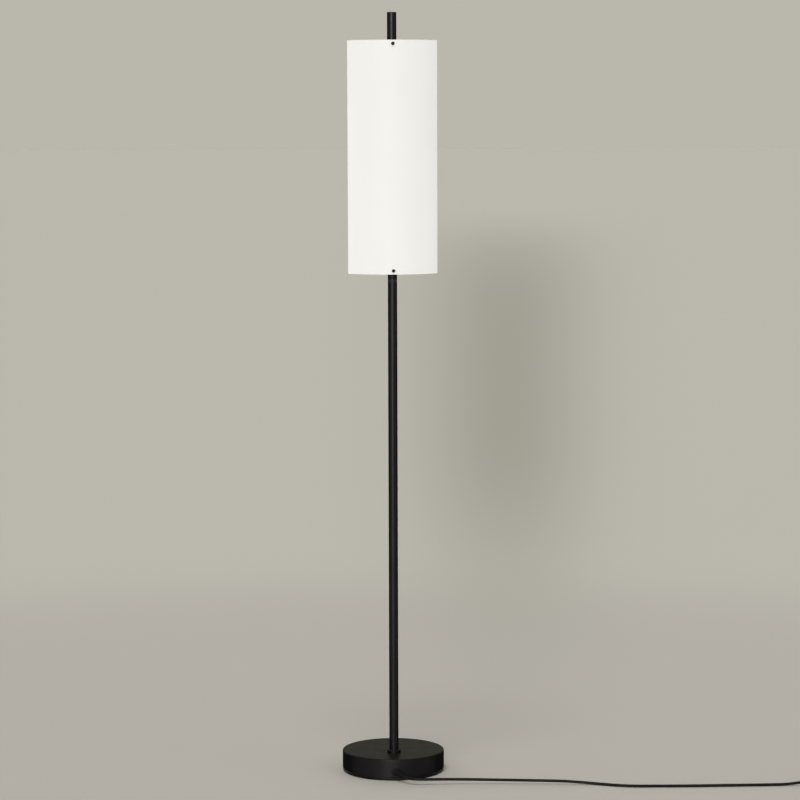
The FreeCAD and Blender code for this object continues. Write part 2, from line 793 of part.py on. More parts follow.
def supply_leads():
    made = []
    for side, across in zip((-1, 1), SUPPLY_X):
        pole = gland.x + POLE_OFFSET * side
        route = [
            Vector(pole, terminal_back - WIRE_GRIP, gland.z),
            Vector(pole, terminal_back + 2.5, gland.z),
            Vector(across, terminal_back + 12.0, SUPPLY_HEIGHT),
            Vector(across, driver_front, SUPPLY_HEIGHT),
        ]
        made.append(sweep(bent_path(route, 0.3)[0], WIRE_RADIUS))
    tubes("supply_leads", made)


POST_WIRE_RADIUS = 1.8
WIRE_MEETING = 12.0  # the fixed wires end this far below the post's top


def post_wires():
    """From the driver to the stud's hole, then up the post to the swivel."""
    low = value(NIPPLE_BOTTOM) - 6.0
    route = [
        Vector(0, driver_front, SUPPLY_HEIGHT + 1.0),
        Vector(0, driver_front - 7.0, SUPPLY_HEIGHT + 1.0),
        Vector(0, post_y + 13.3, low),
        Vector(0, post_y, low),
        Vector(0, post_y, value(POST_TOP) - WIRE_MEETING),
    ]
    tube("post_wires", bent_path(route)[0], POST_WIRE_RADIUS)


# ---------------------------------------------------------------- post



def tube_body(name, label, length, z):
    made = body(name)
    drawn = circle(sketch(made, "XY_Plane", f"{name}_section"), "post_radius")
    pad(made, circle(drawn, TUBE_BORE), length)
    return node(place(made, y=POST_Y, z=z), label)


def post_foot():
    height = f"base_height + foot_plug_length - ({NIPPLE_BOTTOM})"
    node(
        washer("post_nipple", "nipple_radius", "nipple_bore", f"{height} - 2", y=POST_Y,
               z=NIPPLE_BOTTOM),
        "post_nipple",
    )
    node(
        washer("nipple_washer", "washer_radius", "nipple_radius + slip_gap", "washer_thickness",
               y=POST_Y, z=f"{CHANNEL_ROOF} - washer_thickness"),
        "nipple_washer",
    )
    hexagon = solid("Prism", "nut_hexagon", y=POST_Y, z=NUT_BOTTOM,
                    Circumradius="nut_across_corners / 2", Height="nut_height")
    thread = rod("nut_thread", "nipple_radius + fit_gap", "nut_height", y=POST_Y, z=NUT_BOTTOM)
    node(cut("nipple_nut", hexagon, [thread]), "nipple_nut")
    node(
        washer("post_foot_plug", PLUG_RADIUS, "nipple_radius + fit_gap", "foot_plug_length",
               y=POST_Y, z="base_height"),
        "post_foot_plug",
    )
    inner, outer = "post_radius + fit_gap", "collar_radius"
    collar = turned(
        "base_collar",
        [
            (inner, "0"),
            (outer, "0"),
            (outer, "collar_height - collar_bevel"),
            (f"{outer} - collar_bevel", "collar_height"),
            (inner, "collar_height"),
        ],
    )
    node(place(collar, y=POST_Y, z="base_height"), "base_collar")
    tube_body("lower_post", "lower_post", f"{POST_TOP} - base_height", "base_height")


# ---------------------------------------------------------------- swivel

BUSH_END = f"{POST_TOP} - bush_length"
LOCK_TOP = f"{BUSH_END} - wave_washer_thickness - face_gap"


def swivel_bush():
    bore = "spindle_radius + fit_gap"
    groove_inner = "stop_circle - stop_groove_width / 2"
    groove_outer = "stop_circle + stop_groove_width / 2"
    groove_floor = "ring_height - stop_groove_depth"
    made = turned(
        "swivel_bush",
        [
            (bore, "-bush_length"),
            (PLUG_RADIUS, "-bush_length"),
            (PLUG_RADIUS, "0"),
            ("post_radius", "0"),
            ("post_radius", "ring_height"),
            (groove_outer, "ring_height"),
            (groove_outer, groove_floor),
            (groove_inner, groove_floor),
            (groove_inner, "ring_height"),
            (bore, "ring_height"),
        ],
    )
    lug = rectangle(
        sketch(made, "XY_Plane", "stop_lug", f"{groove_floor} - 0.5"),
        "-stop_lug_width / 2",
        "stop_lug_width / 2",
        f"{groove_inner} - 0.3",
        f"{groove_outer} + 0.3",
    )
    pad(made, lug, "stop_groove_depth + 0.5")
    node(place(made, y=POST_Y, z=POST_TOP), "swivel_bush")
    node(
        washer("wave_washer", f"{TUBE_BORE} - slip_gap", "spindle_radius + slip_gap",
               "wave_washer_thickness", y=POST_Y, z=f"{BUSH_END} - wave_washer_thickness"),
        "wave_washer",
    )


def lock_nut():
    made = body("lock_nut")
    drawn = circle(sketch(made, "XY_Plane", "lock_nut_section"), f"{TUBE_BORE} - 2 * slip_gap")
    pad(made, circle(drawn, "spindle_radius + fit_gap"), "lock_nut_height")
    slot = rectangle(
        sketch(made, "XY_Plane", "lock_nut_slot"),
        f"{TUBE_BORE} - 2 * slip_gap - 1.2",
        "post_radius",
        "-lock_nut_slot / 2",
        "lock_nut_slot / 2",
    )
    around(made, pocket(made, slot, "lock_nut_height / 2"), 4)
    node(place(made, y=POST_Y, z=f"{LOCK_TOP} - lock_nut_height"), "lock_nut")


def swivel_spindle():
    bottom = f"{LOCK_TOP} - lock_nut_height - spindle_end"
    node(
        washer("swivel_spindle", "spindle_radius", "spindle_bore",
               f"{HEAD_BOTTOM} + spindle_thread - ({bottom})", y=POST_Y, z=bottom),
        "swivel_spindle",
    )
    pin_bottom = f"{POST_TOP} + ring_height - stop_groove_depth + face_gap"
    node(
        rod("stop_pin", "stop_pin_radius",
            f"{HEAD_BOTTOM} + flange_height - face_gap - ({pin_bottom})",
            y=f"{POST_Y} - stop_circle", z=pin_bottom),
        "stop_pin",
    )


def head_plug():
    made = turned(
        "head_plug",
        [
            ("spindle_radius + fit_gap", "0"),
            ("post_radius", "0"),
            ("post_radius", "flange_height"),
            (PLUG_RADIUS, "flange_height"),
            (PLUG_RADIUS, "flange_height + head_plug_length"),
            ("spindle_bore", "flange_height + head_plug_length"),
            ("spindle_bore", "spindle_thread"),
            ("spindle_radius + fit_gap", "spindle_thread"),
        ],
    )
    pin_hole = circle(
        sketch(made, "XY_Plane", "stop_pin_hole"), "stop_pin_radius + fit_gap", "0", "-stop_circle"
    )
    pocket(made, pin_hole, "flange_height - face_gap")
    stud_hole = circle(
        sketch(made, "XZ_Plane", "plug_stud_hole"),
        "stud_radius + fit_gap",
        "0",
        f"{LOWER_STANDOFF} - ({HEAD_BOTTOM})",
    )
    pocket(made, stud_hole)
    node(place(made, y=POST_Y, z=HEAD_BOTTOM), "head_plug")


# ---------------------------------------------------------------- head

TUBE_BOTTOM = f"{HEAD_BOTTOM} + flange_height"
TUBE_TOP = "lamp_height - cap_thickness"


def head_tube():
    made = tube_body("head_tube", "head_tube", f"{TUBE_TOP} - ({TUBE_BOTTOM})", TUBE_BOTTOM)
    window = rectangle(
        sketch(made, "XZ_Plane", "light_window"),
        "-window_width / 2",
        "window_width / 2",
        f"{WINDOW_BOTTOM} - ({TUBE_BOTTOM})",
        f"{WINDOW_BOTTOM} + {WINDOW_LENGTH} - ({TUBE_BOTTOM})",
    )
    pocket(made, window)
    for name, height in STANDOFFS:
        hole = circle(
            sketch(made, "XZ_Plane", f"{name}_stud_hole"),
            "stud_radius + slip_gap",
            "0",
            f"{height} - ({TUBE_BOTTOM})",
        )
        pocket(made, hole)


def top_cap():
    made = turned(
        "top_cap",
        [
            ("0", "-cap_plug_length"),
            (PLUG_RADIUS, "-cap_plug_length"),
            (PLUG_RADIUS, "0"),
            ("post_radius", "0"),
            ("post_radius", "cap_thickness - 0.5"),
            ("post_radius - 0.5", "cap_thickness"),
            ("0", "cap_thickness"),
        ],
    )
    node(place(made, y=POST_Y, z=TUBE_TOP), "top_cap")


BOARD_FRONT = f"{POST_Y} - sink_flat - board_thickness"
LIGHT_BOTTOM = f"{WINDOW_BOTTOM} + strip_play"
LIGHT_LENGTH = f"{WINDOW_LENGTH} - 2 * strip_play"
SINK_RADIUS = f"({TUBE_BORE} - sink_gap)"


def light_strip():
    """The heat sink bar, the board on its flat, the chips on the board, and the lens."""
    bar = rod("sink_bar", SINK_RADIUS, LIGHT_LENGTH, y=POST_Y, z=LIGHT_BOTTOM)
    flat = block("sink_flat_cut", f"3 * {SINK_RADIUS}", f"2 * {SINK_RADIUS}", LIGHT_LENGTH, "0",
                 f"{POST_Y} - sink_flat - {SINK_RADIUS}", LIGHT_BOTTOM)
    node(cut("heat_sink", bar, [flat]), "heat_sink")
    node(
        block("led_board", "board_width", "board_thickness", LIGHT_LENGTH, "0",
              f"{BOARD_FRONT} + board_thickness / 2", LIGHT_BOTTOM),
        "led_board",
    )
    step = f"({LIGHT_LENGTH} - 2 * chip_margin) / {CHIP_COUNT - 1}"
    chips = [
        block(f"led_chip_{i}", "chip_size", "chip_thickness", "chip_size", "0",
              f"{BOARD_FRONT} - chip_thickness / 2",
              f"{LIGHT_BOTTOM} + chip_margin + {i} * ({step}) - chip_size / 2")
        for i in range(CHIP_COUNT)
    ]
    node(group("led_chips", chips), "led_chips")
    length, bottom = f"{WINDOW_LENGTH} - 2 * slip_gap", f"{WINDOW_BOTTOM} + slip_gap"
    shell = washer("lens_shell", "post_radius", "post_radius - lens_thickness", length,
                   y=POST_Y, z=bottom)
    front = block("lens_front", "window_width - 2 * slip_gap", "post_radius", length, "0",
                  f"{POST_Y} - post_radius / 2 - 1", bottom)
    lens = doc.addObject("Part::Common", "diffuser_strip")
    lens.Base = shell
    lens.Tool = front
    node(lens, "diffuser_strip")


HEAD_WIRE_RADIUS = 1.2
HEAD_WIRE_END = 6.0  # above the board's lower end, below the first chip


def head_wires():
    """From the swivel up through the head plug to the front of the board."""
    bottom = value(POST_TOP) - WIRE_MEETING + size["face_gap"]
    plug_top = value(TUBE_BOTTOM) + size["head_plug_length"]
    front = post_y - size["sink_flat"] - size["board_thickness"] - HEAD_WIRE_RADIUS - 0.1
    route = [
        Vector(0, post_y, bottom),
        Vector(0, post_y, plug_top - 2.0),
        Vector(0, front, plug_top + 4.0),
        Vector(0, front, value(LIGHT_BOTTOM) + HEAD_WIRE_END),
    ]
    tube("head_wires", bent_path(route, 0.4)[0], HEAD_WIRE_RADIUS)


def upper_anchor():
    stock = rod("anchor_stock", PLUG_RADIUS, "anchor_length", y=POST_Y,
                z=f"{UPPER_STANDOFF} - anchor_length / 2")
    thread = rod("anchor_thread", "stud_radius + fit_gap", "post_radius", y=POST_Y,
                 z=UPPER_STANDOFF, turn=TOWARDS_FRONT)
    node(cut("upper_anchor", stock, [thread]), "upper_anchor")


# ---------------------------------------------------------------- screen

SCREEN_FRONT = f"{POST_Y} - screen_reach"
# where the rim of a flat washer meets the hollow side of the sheet
WASHER_SEAT = (
    f"{POST_Y} + screen_radius - screen_reach"
    " - sqrt((screen_radius - screen_thickness)^2 - pad_ring_radius^2)"
)
STANDOFF_END = f"{WASHER_SEAT} + pad_ring_thickness + 2 * fit_gap"


def standoffs():
    """Turned spacers: a stud in the tube, a saddle round it, a thread for the screw."""
    for name, height in STANDOFFS:
        spacer = rod(f"{name}_spacer", "standoff_radius", f"{POST_Y} - ({STANDOFF_END})", y=POST_Y,
                     z=height, turn=TOWARDS_FRONT)
        saddle = rod(f"{name}_saddle", "post_radius + fit_gap", "4 * standoff_radius", y=POST_Y,
                     z=f"{height} - 2 * standoff_radius")
        stud_start = f"{TUBE_BORE} - stud_reach"
        stud = rod(f"{name}_stud", "stud_radius", f"post_radius + 2 - ({stud_start})",
                   y=f"{POST_Y} - ({stud_start})", z=height, turn=TOWARDS_FRONT)
        thread = rod(f"{name}_thread", "stud_radius + fit_gap", "screw_reach",
                     y=f"{STANDOFF_END} + screw_reach", z=height, turn=TOWARDS_FRONT)
        blank = fused(f"{name}_blank", [cut(f"{name}_saddled", spacer, [saddle]), stud])
        node(cut(f"{name}_standoff", blank, [thread]), f"{name}_standoff")


def screen_fixings():
    pads, screws = [], []
    for name, height in STANDOFFS:
        pads.append(
            washer(f"{name}_pad_ring", "pad_ring_radius", "stud_radius + slip_gap",
                   "pad_ring_thickness", y=f"{STANDOFF_END} - fit_gap", z=height,
                   turn=TOWARDS_FRONT)
        )
        seat = f"{SCREEN_FRONT}"
        rim = rod(f"{name}_screw_rim", "screw_head_radius", "screw_head_height / 2", y=seat,
                  z=height, turn=TOWARDS_FRONT)
        crown = solid(
            "Cone",
            f"{name}_screw_crown",
            y=f"{seat} - screw_head_height / 2",
            z=height,
            turn=TOWARDS_FRONT,
            Radius1="screw_head_radius",
            Radius2="screw_head_radius * 0.62",
            Height="screw_head_height / 2",
        )
        shank = rod(f"{name}_screw_shank", "stud_radius", "screw_reach", y=f"{seat} + screw_reach",
                    z=height, turn=TOWARDS_FRONT)
        socket = solid(
            "Prism",
            f"{name}_screw_socket",
            y=f"{seat} - screw_head_height * 0.4",
            z=height,
            turn=TOWARDS_FRONT,
            Circumradius="screw_head_radius * 0.43",
            Height="screw_head_height",
        )
        whole = fused(f"{name}_screw_blank", [rim, crown, shank])
        screws.append(cut(f"{name}_screw", whole, [socket]))
    node(group("screen_washers", pads), "screen_washers")
    node(group("screen_screws", screws), "screen_screws")


def screen():
    """A sheet bent to an arc, with square corners and a hole for each screw."""
    made = body("screen")
    drawn = sketch(made, "XY_Plane", "screen_section")
    outer, wall = size["screen_radius"], size["screen_thickness"]
    half_angle = math.asin(size["screen_half_width"] / outer)
    centre = Vector(0, outer - size["screen_reach"], 0)
    ends = (-math.pi / 2 - half_angle, -math.pi / 2 + half_angle)
    for radius in (outer, outer - wall):
        drawn.addGeometry(Part.ArcOfCircle(Part.Circle(centre, Z_AXIS, radius), *ends), False)
    for angle in ends:
        way = Vector(math.cos(angle), math.sin(angle), 0)
        side = Part.LineSegment(centre + way * outer, centre + way * (outer - wall))
        drawn.addGeometry(side, False)
    for side, end in ((2, 1), (3, 2)):
        drawn.addConstraint(Sketcher.Constraint("Coincident", 0, end, side, 1))
        drawn.addConstraint(Sketcher.Constraint("Coincident", 1, end, side, 2))
        drawn.addConstraint(Sketcher.Constraint("PointOnObject", 0, 3, side))
    drawn.addConstraint(Sketcher.Constraint("Coincident", 0, 3, 1, 3))
    fix_point(drawn, 0, 3, "0", "screen_radius - screen_reach")
    dimension(drawn, "screen_radius", "Radius", 0, outer)
    dimension(drawn, "screen_radius - screen_thickness", "Radius", 1, outer - wall)
    for end, text in ((1, "-screen_half_width"), (2, "screen_half_width")):
        dimension(drawn, text, "DistanceX", -1, 1, 0, end, drawn.getPoint(0, end).x)
    pad(made, drawn, "screen_height")
    for name, height in STANDOFFS:
        hole = circle(
            sketch(made, "XZ_Plane", f"{name}_screen_hole"),
            "stud_radius + slip_gap",
            "0",
            f"{height} - ({SCREEN_BOTTOM})",
        )
        pocket(made, hole)
    node(place(made, y=POST_Y, z=SCREEN_BOTTOM), "screen")


# ---------------------------------------------------------------- gland and free cord

tail_way = heading(TAIL_HEADING, TAIL_SLOPE)
tail_root = gland - Vector(0, size["gland_flange"], 0)
tail_tip = tail_root + tail_way * size["tail_length"]


def strain_relief():
    """An oval flange outside the cover, a neck through it, and a tail towards the floor."""
    offset = "(gland_half_width - gland_half_height)"
    depth = "gland_flange + cover_wall"
    back = "-base_radius + cover_wall"
    oval = [
        rod(f"gland_{name}_end", "gland_half_height", depth, f"gland_across {sign} {offset}", back,
            "gland_height", TOWARDS_FRONT)
        for name, sign in (("left", "-"), ("right", "+"))
    ]
    oval.append(
        block("gland_middle", f"2 * {offset}", depth, "2 * gland_half_height", "gland_across",
              f"{back} - ({depth}) / 2", "gland_height - gland_half_height")
    )
    seat = rod("gland_seat", "base_radius + fit_gap", "base_height")
    inner = f"{back} + gland_inner_gap + gland_inner_flange"
    pieces = [
        cut("gland_outer_flange", fused("gland_oval", oval), [seat]),
        rod("gland_neck_rod", "gland_neck", f"{inner} + base_radius + gland_flange / 2",
            "gland_across", inner, "gland_height", TOWARDS_FRONT),
        rod("gland_inner_ring", "gland_inner_radius", "gland_inner_flange", "gland_across", inner,
            "gland_height", TOWARDS_FRONT),
        solid("Sphere", "tail_root", "gland_across", "-base_radius - gland_flange", "gland_height",
              Radius="tail_root_radius"),
        solid(
            "Cone",
            "tail_cone",
            "gland_across",
            "-base_radius - gland_flange",
            "gland_height",
            FreeCAD.Rotation(Z_AXIS, tail_way),
            Radius1="tail_root_radius",
            Radius2="tail_tip_radius",
            Height="tail_length",
        ),
    ]
    node(fused("strain_relief", pieces), "strain_relief")


def power_cord():
    """The free cord, lying as it falls: straight out of the tail, then down to the floor."""
    points = [tail_tip, tail_tip + tail_way * FIRST_RUN] + [Vector(*p) for p in CORD_ROUTE]
    path, radii = bent_path(points)
    print("bend radii of the free cord:", " ".join(f"{radius:.0f}" for radius in radii))
    print(f"length of the free cord: {path.Length:.1f}")
    tube("power_cord", path, size["cord_radius"])


# ---------------------------------------------------------------- switch on the cord

switch_way = heading(SWITCH_HEADING)
switch_span = size["switch_length"] + 2 * size["switch_relief"]
switch_entry = Vector(*CORD_ROUTE[-1])
switch_centre = switch_entry + switch_way * (switch_span / 2)
switch_exit = switch_entry + switch_way * switch_span
SWITCH_TURN = FreeCAD.Rotation(Z_AXIS, SWITCH_HEADING)
SWITCH_SCREWS = (("left", -20.0, 7.0), ("right", 20.0, -7.0))
SWITCH_BOSS = 3.4
SWITCH_SCREW_HEAD = 2.4
COVER_Z = "switch_base_height"
SWITCH_TOP = "switch_base_height + switch_cover_height"


def at_switch(thing):
    """Moves a sub-part from the switch's own frame to its place on the cord."""
    thing.Placement = FreeCAD.Placement(Vector(switch_centre.x, switch_centre.y, 0), SWITCH_TURN)
    return thing


def switch_half(name, height):
    made = body(name)
    section = rectangle(
        sketch(made, "XY_Plane", f"{name}_section"),
        "-switch_length / 2",
        "switch_length / 2",
        "-switch_width / 2",
        "switch_width / 2",
    )
    stock = pad(made, section, height)
    rounded(made, stock, "switch_corner", is_upright)
    return made


def hollow(made, name, lift, depth):
    inside = rectangle(
        sketch(made, "XY_Plane", f"{name}_inside", lift),
        "-switch_length / 2 + switch_wall",
        "switch_length / 2 - switch_wall",
        "-switch_width / 2 + switch_wall",
        "switch_width / 2 - switch_wall",
    )
    made_pocket = pocket(made, inside, depth)
    doc.recompute()
    return made_pocket


def switch_base():
    made = switch_half("switch_base", "switch_base_height")
    hollow(made, "switch_base", "switch_wall", "switch_base_height")
    for name, along, across in SWITCH_SCREWS:
        boss = circle(
            sketch(made, "XY_Plane", f"base_boss_{name}", "switch_wall / 2"), SWITCH_BOSS,
            str(along), str(across)
        )
        pad(made, boss, "switch_base_height - switch_wall / 2")
        hole = circle(
            sketch(made, "XY_Plane", f"base_hole_{name}"), f"{SMALL_SCREW} + slip_gap",
            str(along), str(across)
        )
        pocket(made, hole)
        recess = circle(
            sketch(made, "XY_Plane", f"base_recess_{name}"), f"{SMALL_HEAD} + slip_gap",
            str(along), str(across)
        )
        pocket(made, recess, SWITCH_SCREW_HEAD)
    cord_hole = circle(
        sketch(made, "YZ_Plane", "switch_cord_hole"), "cord_radius + slip_gap", "0",
        "switch_cord_height"
    )
    pocket(made, cord_hole).Midplane = True
    at_switch(node(made, "switch_base"))


def switch_cover():
    made = switch_half("switch_cover", "switch_cover_height")
    doc.recompute()
    top = size["switch_cover_height"]
    rounded(made, made.Tip, "1.6", lambda edge: lies_at(edge, top))
    hollow(made, "switch_cover", "0", "switch_cover_height - switch_wall")
    for name, along, across in SWITCH_SCREWS:
        boss = circle(
            sketch(made, "XY_Plane", f"cover_boss_{name}"), SWITCH_BOSS, str(along), str(across)
        )
        pad(made, boss, "switch_cover_height - switch_wall / 2")
        thread = circle(
            sketch(made, "XY_Plane", f"cover_thread_{name}"), f"{SMALL_SCREW} + fit_gap",
            str(along), str(across)
        )
        pocket(made, thread, "switch_cover_height - switch_wall")
    opening = circle(
        sketch(made, "XY_Plane", "button_opening"), "button_radius + face_gap"
    )
    pocket(made, opening)
    at_switch(node(made, "switch_cover"))
    made.setExpression(".Placement.Base.z", cells(COVER_Z))


def switch_button():
    """A cap with a rim under the cover and a stem above the contact block."""
    rim_top = "-switch_wall - face_gap"
    rim_bottom = f"{rim_top} - button_flange"
    stem_end = "-switch_cover_height + button_travel + face_gap"
    made = turned(
        "switch_button",
        [
            ("0", stem_end),
            ("2.5", stem_end),
            ("2.5", rim_bottom),
            ("button_radius + 1.2", rim_bottom),
            ("button_radius + 1.2", rim_top),
            ("button_radius", rim_top),
            ("button_radius", "button_rise - 0.8"),
            ("button_radius - 0.8", "button_rise"),
            ("0", "button_rise"),
        ],
    )
    at_switch(node(made, "switch_button"))
    made.setExpression(".Placement.Base.z", cells(SWITCH_TOP))


CONTACTS_LENGTH = 16.0
CONTACTS_WIDTH = 12.0
CORD_GRIP = 8.0  # the cord's reach into the housing


def switch_inside():
    """The contact block, the two cord ends with their leads, and the housing's screws."""
    contacts = body("switch_contacts")
    section = rectangle(
        sketch(contacts, "XY_Plane", "contacts_section"),
        str(-CONTACTS_LENGTH / 2),
        str(CONTACTS_LENGTH / 2),
        str(-CONTACTS_WIDTH / 2),
        str(CONTACTS_WIDTH / 2),
    )
    pad(contacts, section, "switch_base_height - switch_wall")
    at_switch(node(contacts, "switch_contacts"))
    contacts.setExpression(".Placement.Base.z", cells("switch_wall"))

    end_x, cord_z = size["switch_length"] / 2, size["switch_cord_height"]
    reliefs, leads = [], []
    for side in (-1, 1):
        outward = Vector(side, 0, 0)
        outside = outward * end_x + Z_AXIS * cord_z
        inside = outward * (end_x - CORD_GRIP) + Z_AXIS * cord_z
        sleeve = Part.makeCone(4.4, 3.5, size["switch_relief"], outside, outward)
        neck = Part.makeCylinder(size["cord_radius"], CORD_GRIP, inside, outward)
        reliefs.append(sleeve.fuse(neck).removeSplitter())
        length = end_x - CORD_GRIP - CONTACTS_LENGTH / 2
        for across in (-1.4, 1.4):
            leads.append(
                Part.makeCylinder(WIRE_RADIUS, length, inside + Vector(0, across, 0), -outward)
            )
    at_switch(tubes("switch_reliefs", reliefs))
    at_switch(tubes("switch_leads", leads))

    screws = []
    reach = size["switch_base_height"] + size["switch_cover_height"] - 2 * size["switch_wall"]
    for _, along, across in SWITCH_SCREWS:
        foot = Vector(along, across, 0.4)
        head = Part.makeCylinder(SMALL_HEAD, SWITCH_SCREW_HEAD - 0.4, foot)
        shank = Part.makeCylinder(SMALL_SCREW, reach, foot)
        screws.append(head.fuse(shank).removeSplitter())
    at_switch(tubes("switch_screws", screws))


PLUG_HEADING = SWITCH_HEADING + 90.0 * COIL_QUARTERS


def turn_z(quarters):
    """Height of the coil's centre line: one layer, a climb over half a turn, the other layer."""
    low = size["cord_radius"] + size["coil_rise"]
    climbed = min(max((quarters - COIL_QUARTERS / 2 + 1) / 2, 0.0), 1.0)
    return low + size["coil_layer"] * climbed


coil_entry = switch_exit + switch_way * COIL_LEAD
coil_centre = coil_entry + heading(SWITCH_HEADING + 90) * size["coil_radius"]


def coil_station(quarters):
    """The point and direction of the coil's centre line after so many quarter turns."""
    middle = COIL_QUARTERS / 2
    per_quarter = size["coil_pitch"] / 4
    inward = (middle - abs(quarters - middle)) * per_quarter
    radius = size["coil_radius"] - inward
    facing = SWITCH_HEADING + 90.0 * quarters
    flat_centre = Vector(coil_centre.x, coil_centre.y, 0)
    point = flat_centre + heading(facing - 90) * radius + Z_AXIS * turn_z(quarters)
    drift = 0.0 if quarters == middle else math.copysign(per_quarter, quarters - middle)
    rise = (turn_z(quarters + 0.5) - turn_z(quarters - 0.5)) if quarters == middle else 0.0
    along = heading(facing) * (radius * math.pi / 2) + heading(facing - 90) * drift
    return point, unit(along + Z_AXIS * rise)


def cord_coil():
    """The length that is put away: in on the lower layer, out on the upper, to the plug."""
    diameter = 2 * size["cord_radius"]
    plug_way = heading(PLUG_HEADING)
    last, _ = coil_station(COIL_QUARTERS)
    plug_entry = last + plug_way * PLUG_LEAD
    plug_entry.z = size["plug_thickness"] / 2
    stations = [(switch_exit, switch_way), (switch_exit + switch_way * diameter, switch_way)]
    stations += [coil_station(q) for q in range(COIL_QUARTERS + 1)]
    stations += [(plug_entry - plug_way * diameter, plug_way), (plug_entry, plug_way)]
    path = smooth_path(stations)
    tube("cord_coil", path, size["cord_radius"])

    line = path.discretize(Distance=1.5)
    apart = int(3 * diameter / 1.5)
    gap = min(
        (line[i] - line[j]).Length
        for i in range(len(line))
        for j in range(i + apart, len(line))
    ) - diameter
    print(f"length in the coil: {path.Length:.1f}, its least gap to itself: {gap:.2f}")
    return plug_entry


def coil_tie():
    """A flat strap round the six turns on the coil's far side."""
    radius, pitch, cord = size["coil_radius"], size["coil_pitch"], size["cord_radius"]
    gap, wall, width = size["tie_gap"], size["tie_thickness"], size["tie_width"]
    turns_in = COIL_QUARTERS / 8
    inner_turn = radius - pitch * turns_in + 0.45 * pitch
    inner = math.sqrt((inner_turn - cord) ** 2 - (width / 2) ** 2) - gap
    outer = radius + cord + gap - 0.15 * pitch
    low = size["coil_rise"] - gap
    high = size["coil_rise"] + 2 * cord + size["coil_layer"] + gap
    hole = Part.makeBox(outer - inner, width, high - low, Vector(inner, -width / 2, low))
    strap = Part.makeBox(outer - inner + 2 * wall, width, high - low + 2 * wall,
                         Vector(inner - wall, -width / 2, low - wall))
    made = doc.addObject("Part::Feature", "coil_tie")
    made.Shape = strap.cut(hole)
    made.Placement = FreeCAD.Placement(Vector(coil_centre.x, coil_centre.y, 0), UPRIGHT)
    node(made, "coil_tie")


def plug(entry):
    """A flat plug that lies on the floor, its body drawn from the cord towards the pins."""
    turn = FreeCAD.Rotation(Z_AXIS, PLUG_HEADING)
    made = body("plug_body")
    waist, start = "plug_half_width * 0.42", "plug_relief"
    section = outline(
        sketch(made, "XY_Plane", "plug_section"),
        [
            (start, f"-({waist})"),
            (f"{start} + plug_length * 0.5", "-plug_half_width"),
            (f"{start} + plug_length", "-plug_half_width * 0.86"),
            (f"{start} + plug_length", "plug_half_width * 0.86"),
            (f"{start} + plug_length * 0.5", "plug_half_width"),
            (start, waist),
        ],
    )
    stock = pad(made, section, "plug_thickness")
    rounded(made, stock, "2.4", is_upright)
    rounded(made, made.Tip, "1.6",
            lambda edge: lies_at(edge, 0.0) or lies_at(edge, size["plug_thickness"]))
    sleeve_section = circle(
        sketch(made, "YZ_Plane", "sleeve_end"), "cord_radius + 0.9", "0", "plug_thickness / 2"
    )
    pad(made, sleeve_section, "plug_relief + 3")
    pin_holes = sketch(made, "YZ_Plane", "pin_holes", "plug_relief + plug_length - 6")
    for side in ("-", ""):
        circle(pin_holes, "pin_radius + fit_gap", f"{side}pin_spacing / 2", "plug_thickness / 2")
    pocket(made, pin_holes)
    node(made, "plug_body")
    made.Placement = FreeCAD.Placement(Vector(entry.x, entry.y, 0), turn)

    pins = []
    face = size["plug_relief"] + size["plug_length"]
    for side in (-1, 1):
        start = Vector(face - 6, side * size["pin_spacing"] / 2, size["plug_thickness"] / 2)
        shank = Part.makeCylinder(size["pin_radius"], size["pin_length"] + 5, start,
                                  Vector(1, 0, 0))
        tip = Part.makeSphere(size["pin_radius"], start + Vector(size["pin_length"] + 5, 0, 0))
        pins.append(shank.fuse(tip).removeSplitter())
    made = tubes("plug_pins", pins)
    made.Placement = FreeCAD.Placement(Vector(entry.x, entry.y, 0), turn)


# ---------------------------------------------------------------- the lamp

base_cover()
ballast()
bottom_plate()
plate_screws()
foot_pad()
led_driver()
terminal_block()
cord_clamp()
inner_cord()
supply_leads()
post_foot()
post_wires()
swivel_bush()
lock_nut()
swivel_spindle()
head_plug()
head_tube()
top_cap()
light_strip()
head_wires()
upper_anchor()
standoffs()
screen()
screen_fixings()
strain_relief()
power_cord()
switch_base()
switch_cover()
switch_button()
switch_inside()
plug(cord_coil())
coil_tie()
doc.recompute()

faults = [
    f"{thing.Label}: {', '.join(thing.State)}"
    for thing in doc.Objects
    if {"Invalid", "Error"} & set(thing.State)
]
faults += [
    f"{thing.Label}: no valid solid"
    for thing in nodes
    if thing.Shape.isNull() or not thing.Shape.isValid() or not thing.Shape.Solids
]
if faults:
    raise RuntimeError("\n".join(faults))

os.makedirs("parts", exist_ok=True)
for thing in nodes:
    thing.Shape.exportStep(f"parts/{thing.Label}.step")
print(f"{len(nodes)} sub-parts, {sum(len(thing.Shape.Solids) for thing in nodes)} solids")
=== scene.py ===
import json
import math

import bmesh
import bpy
from mathutils import Matrix, Vector


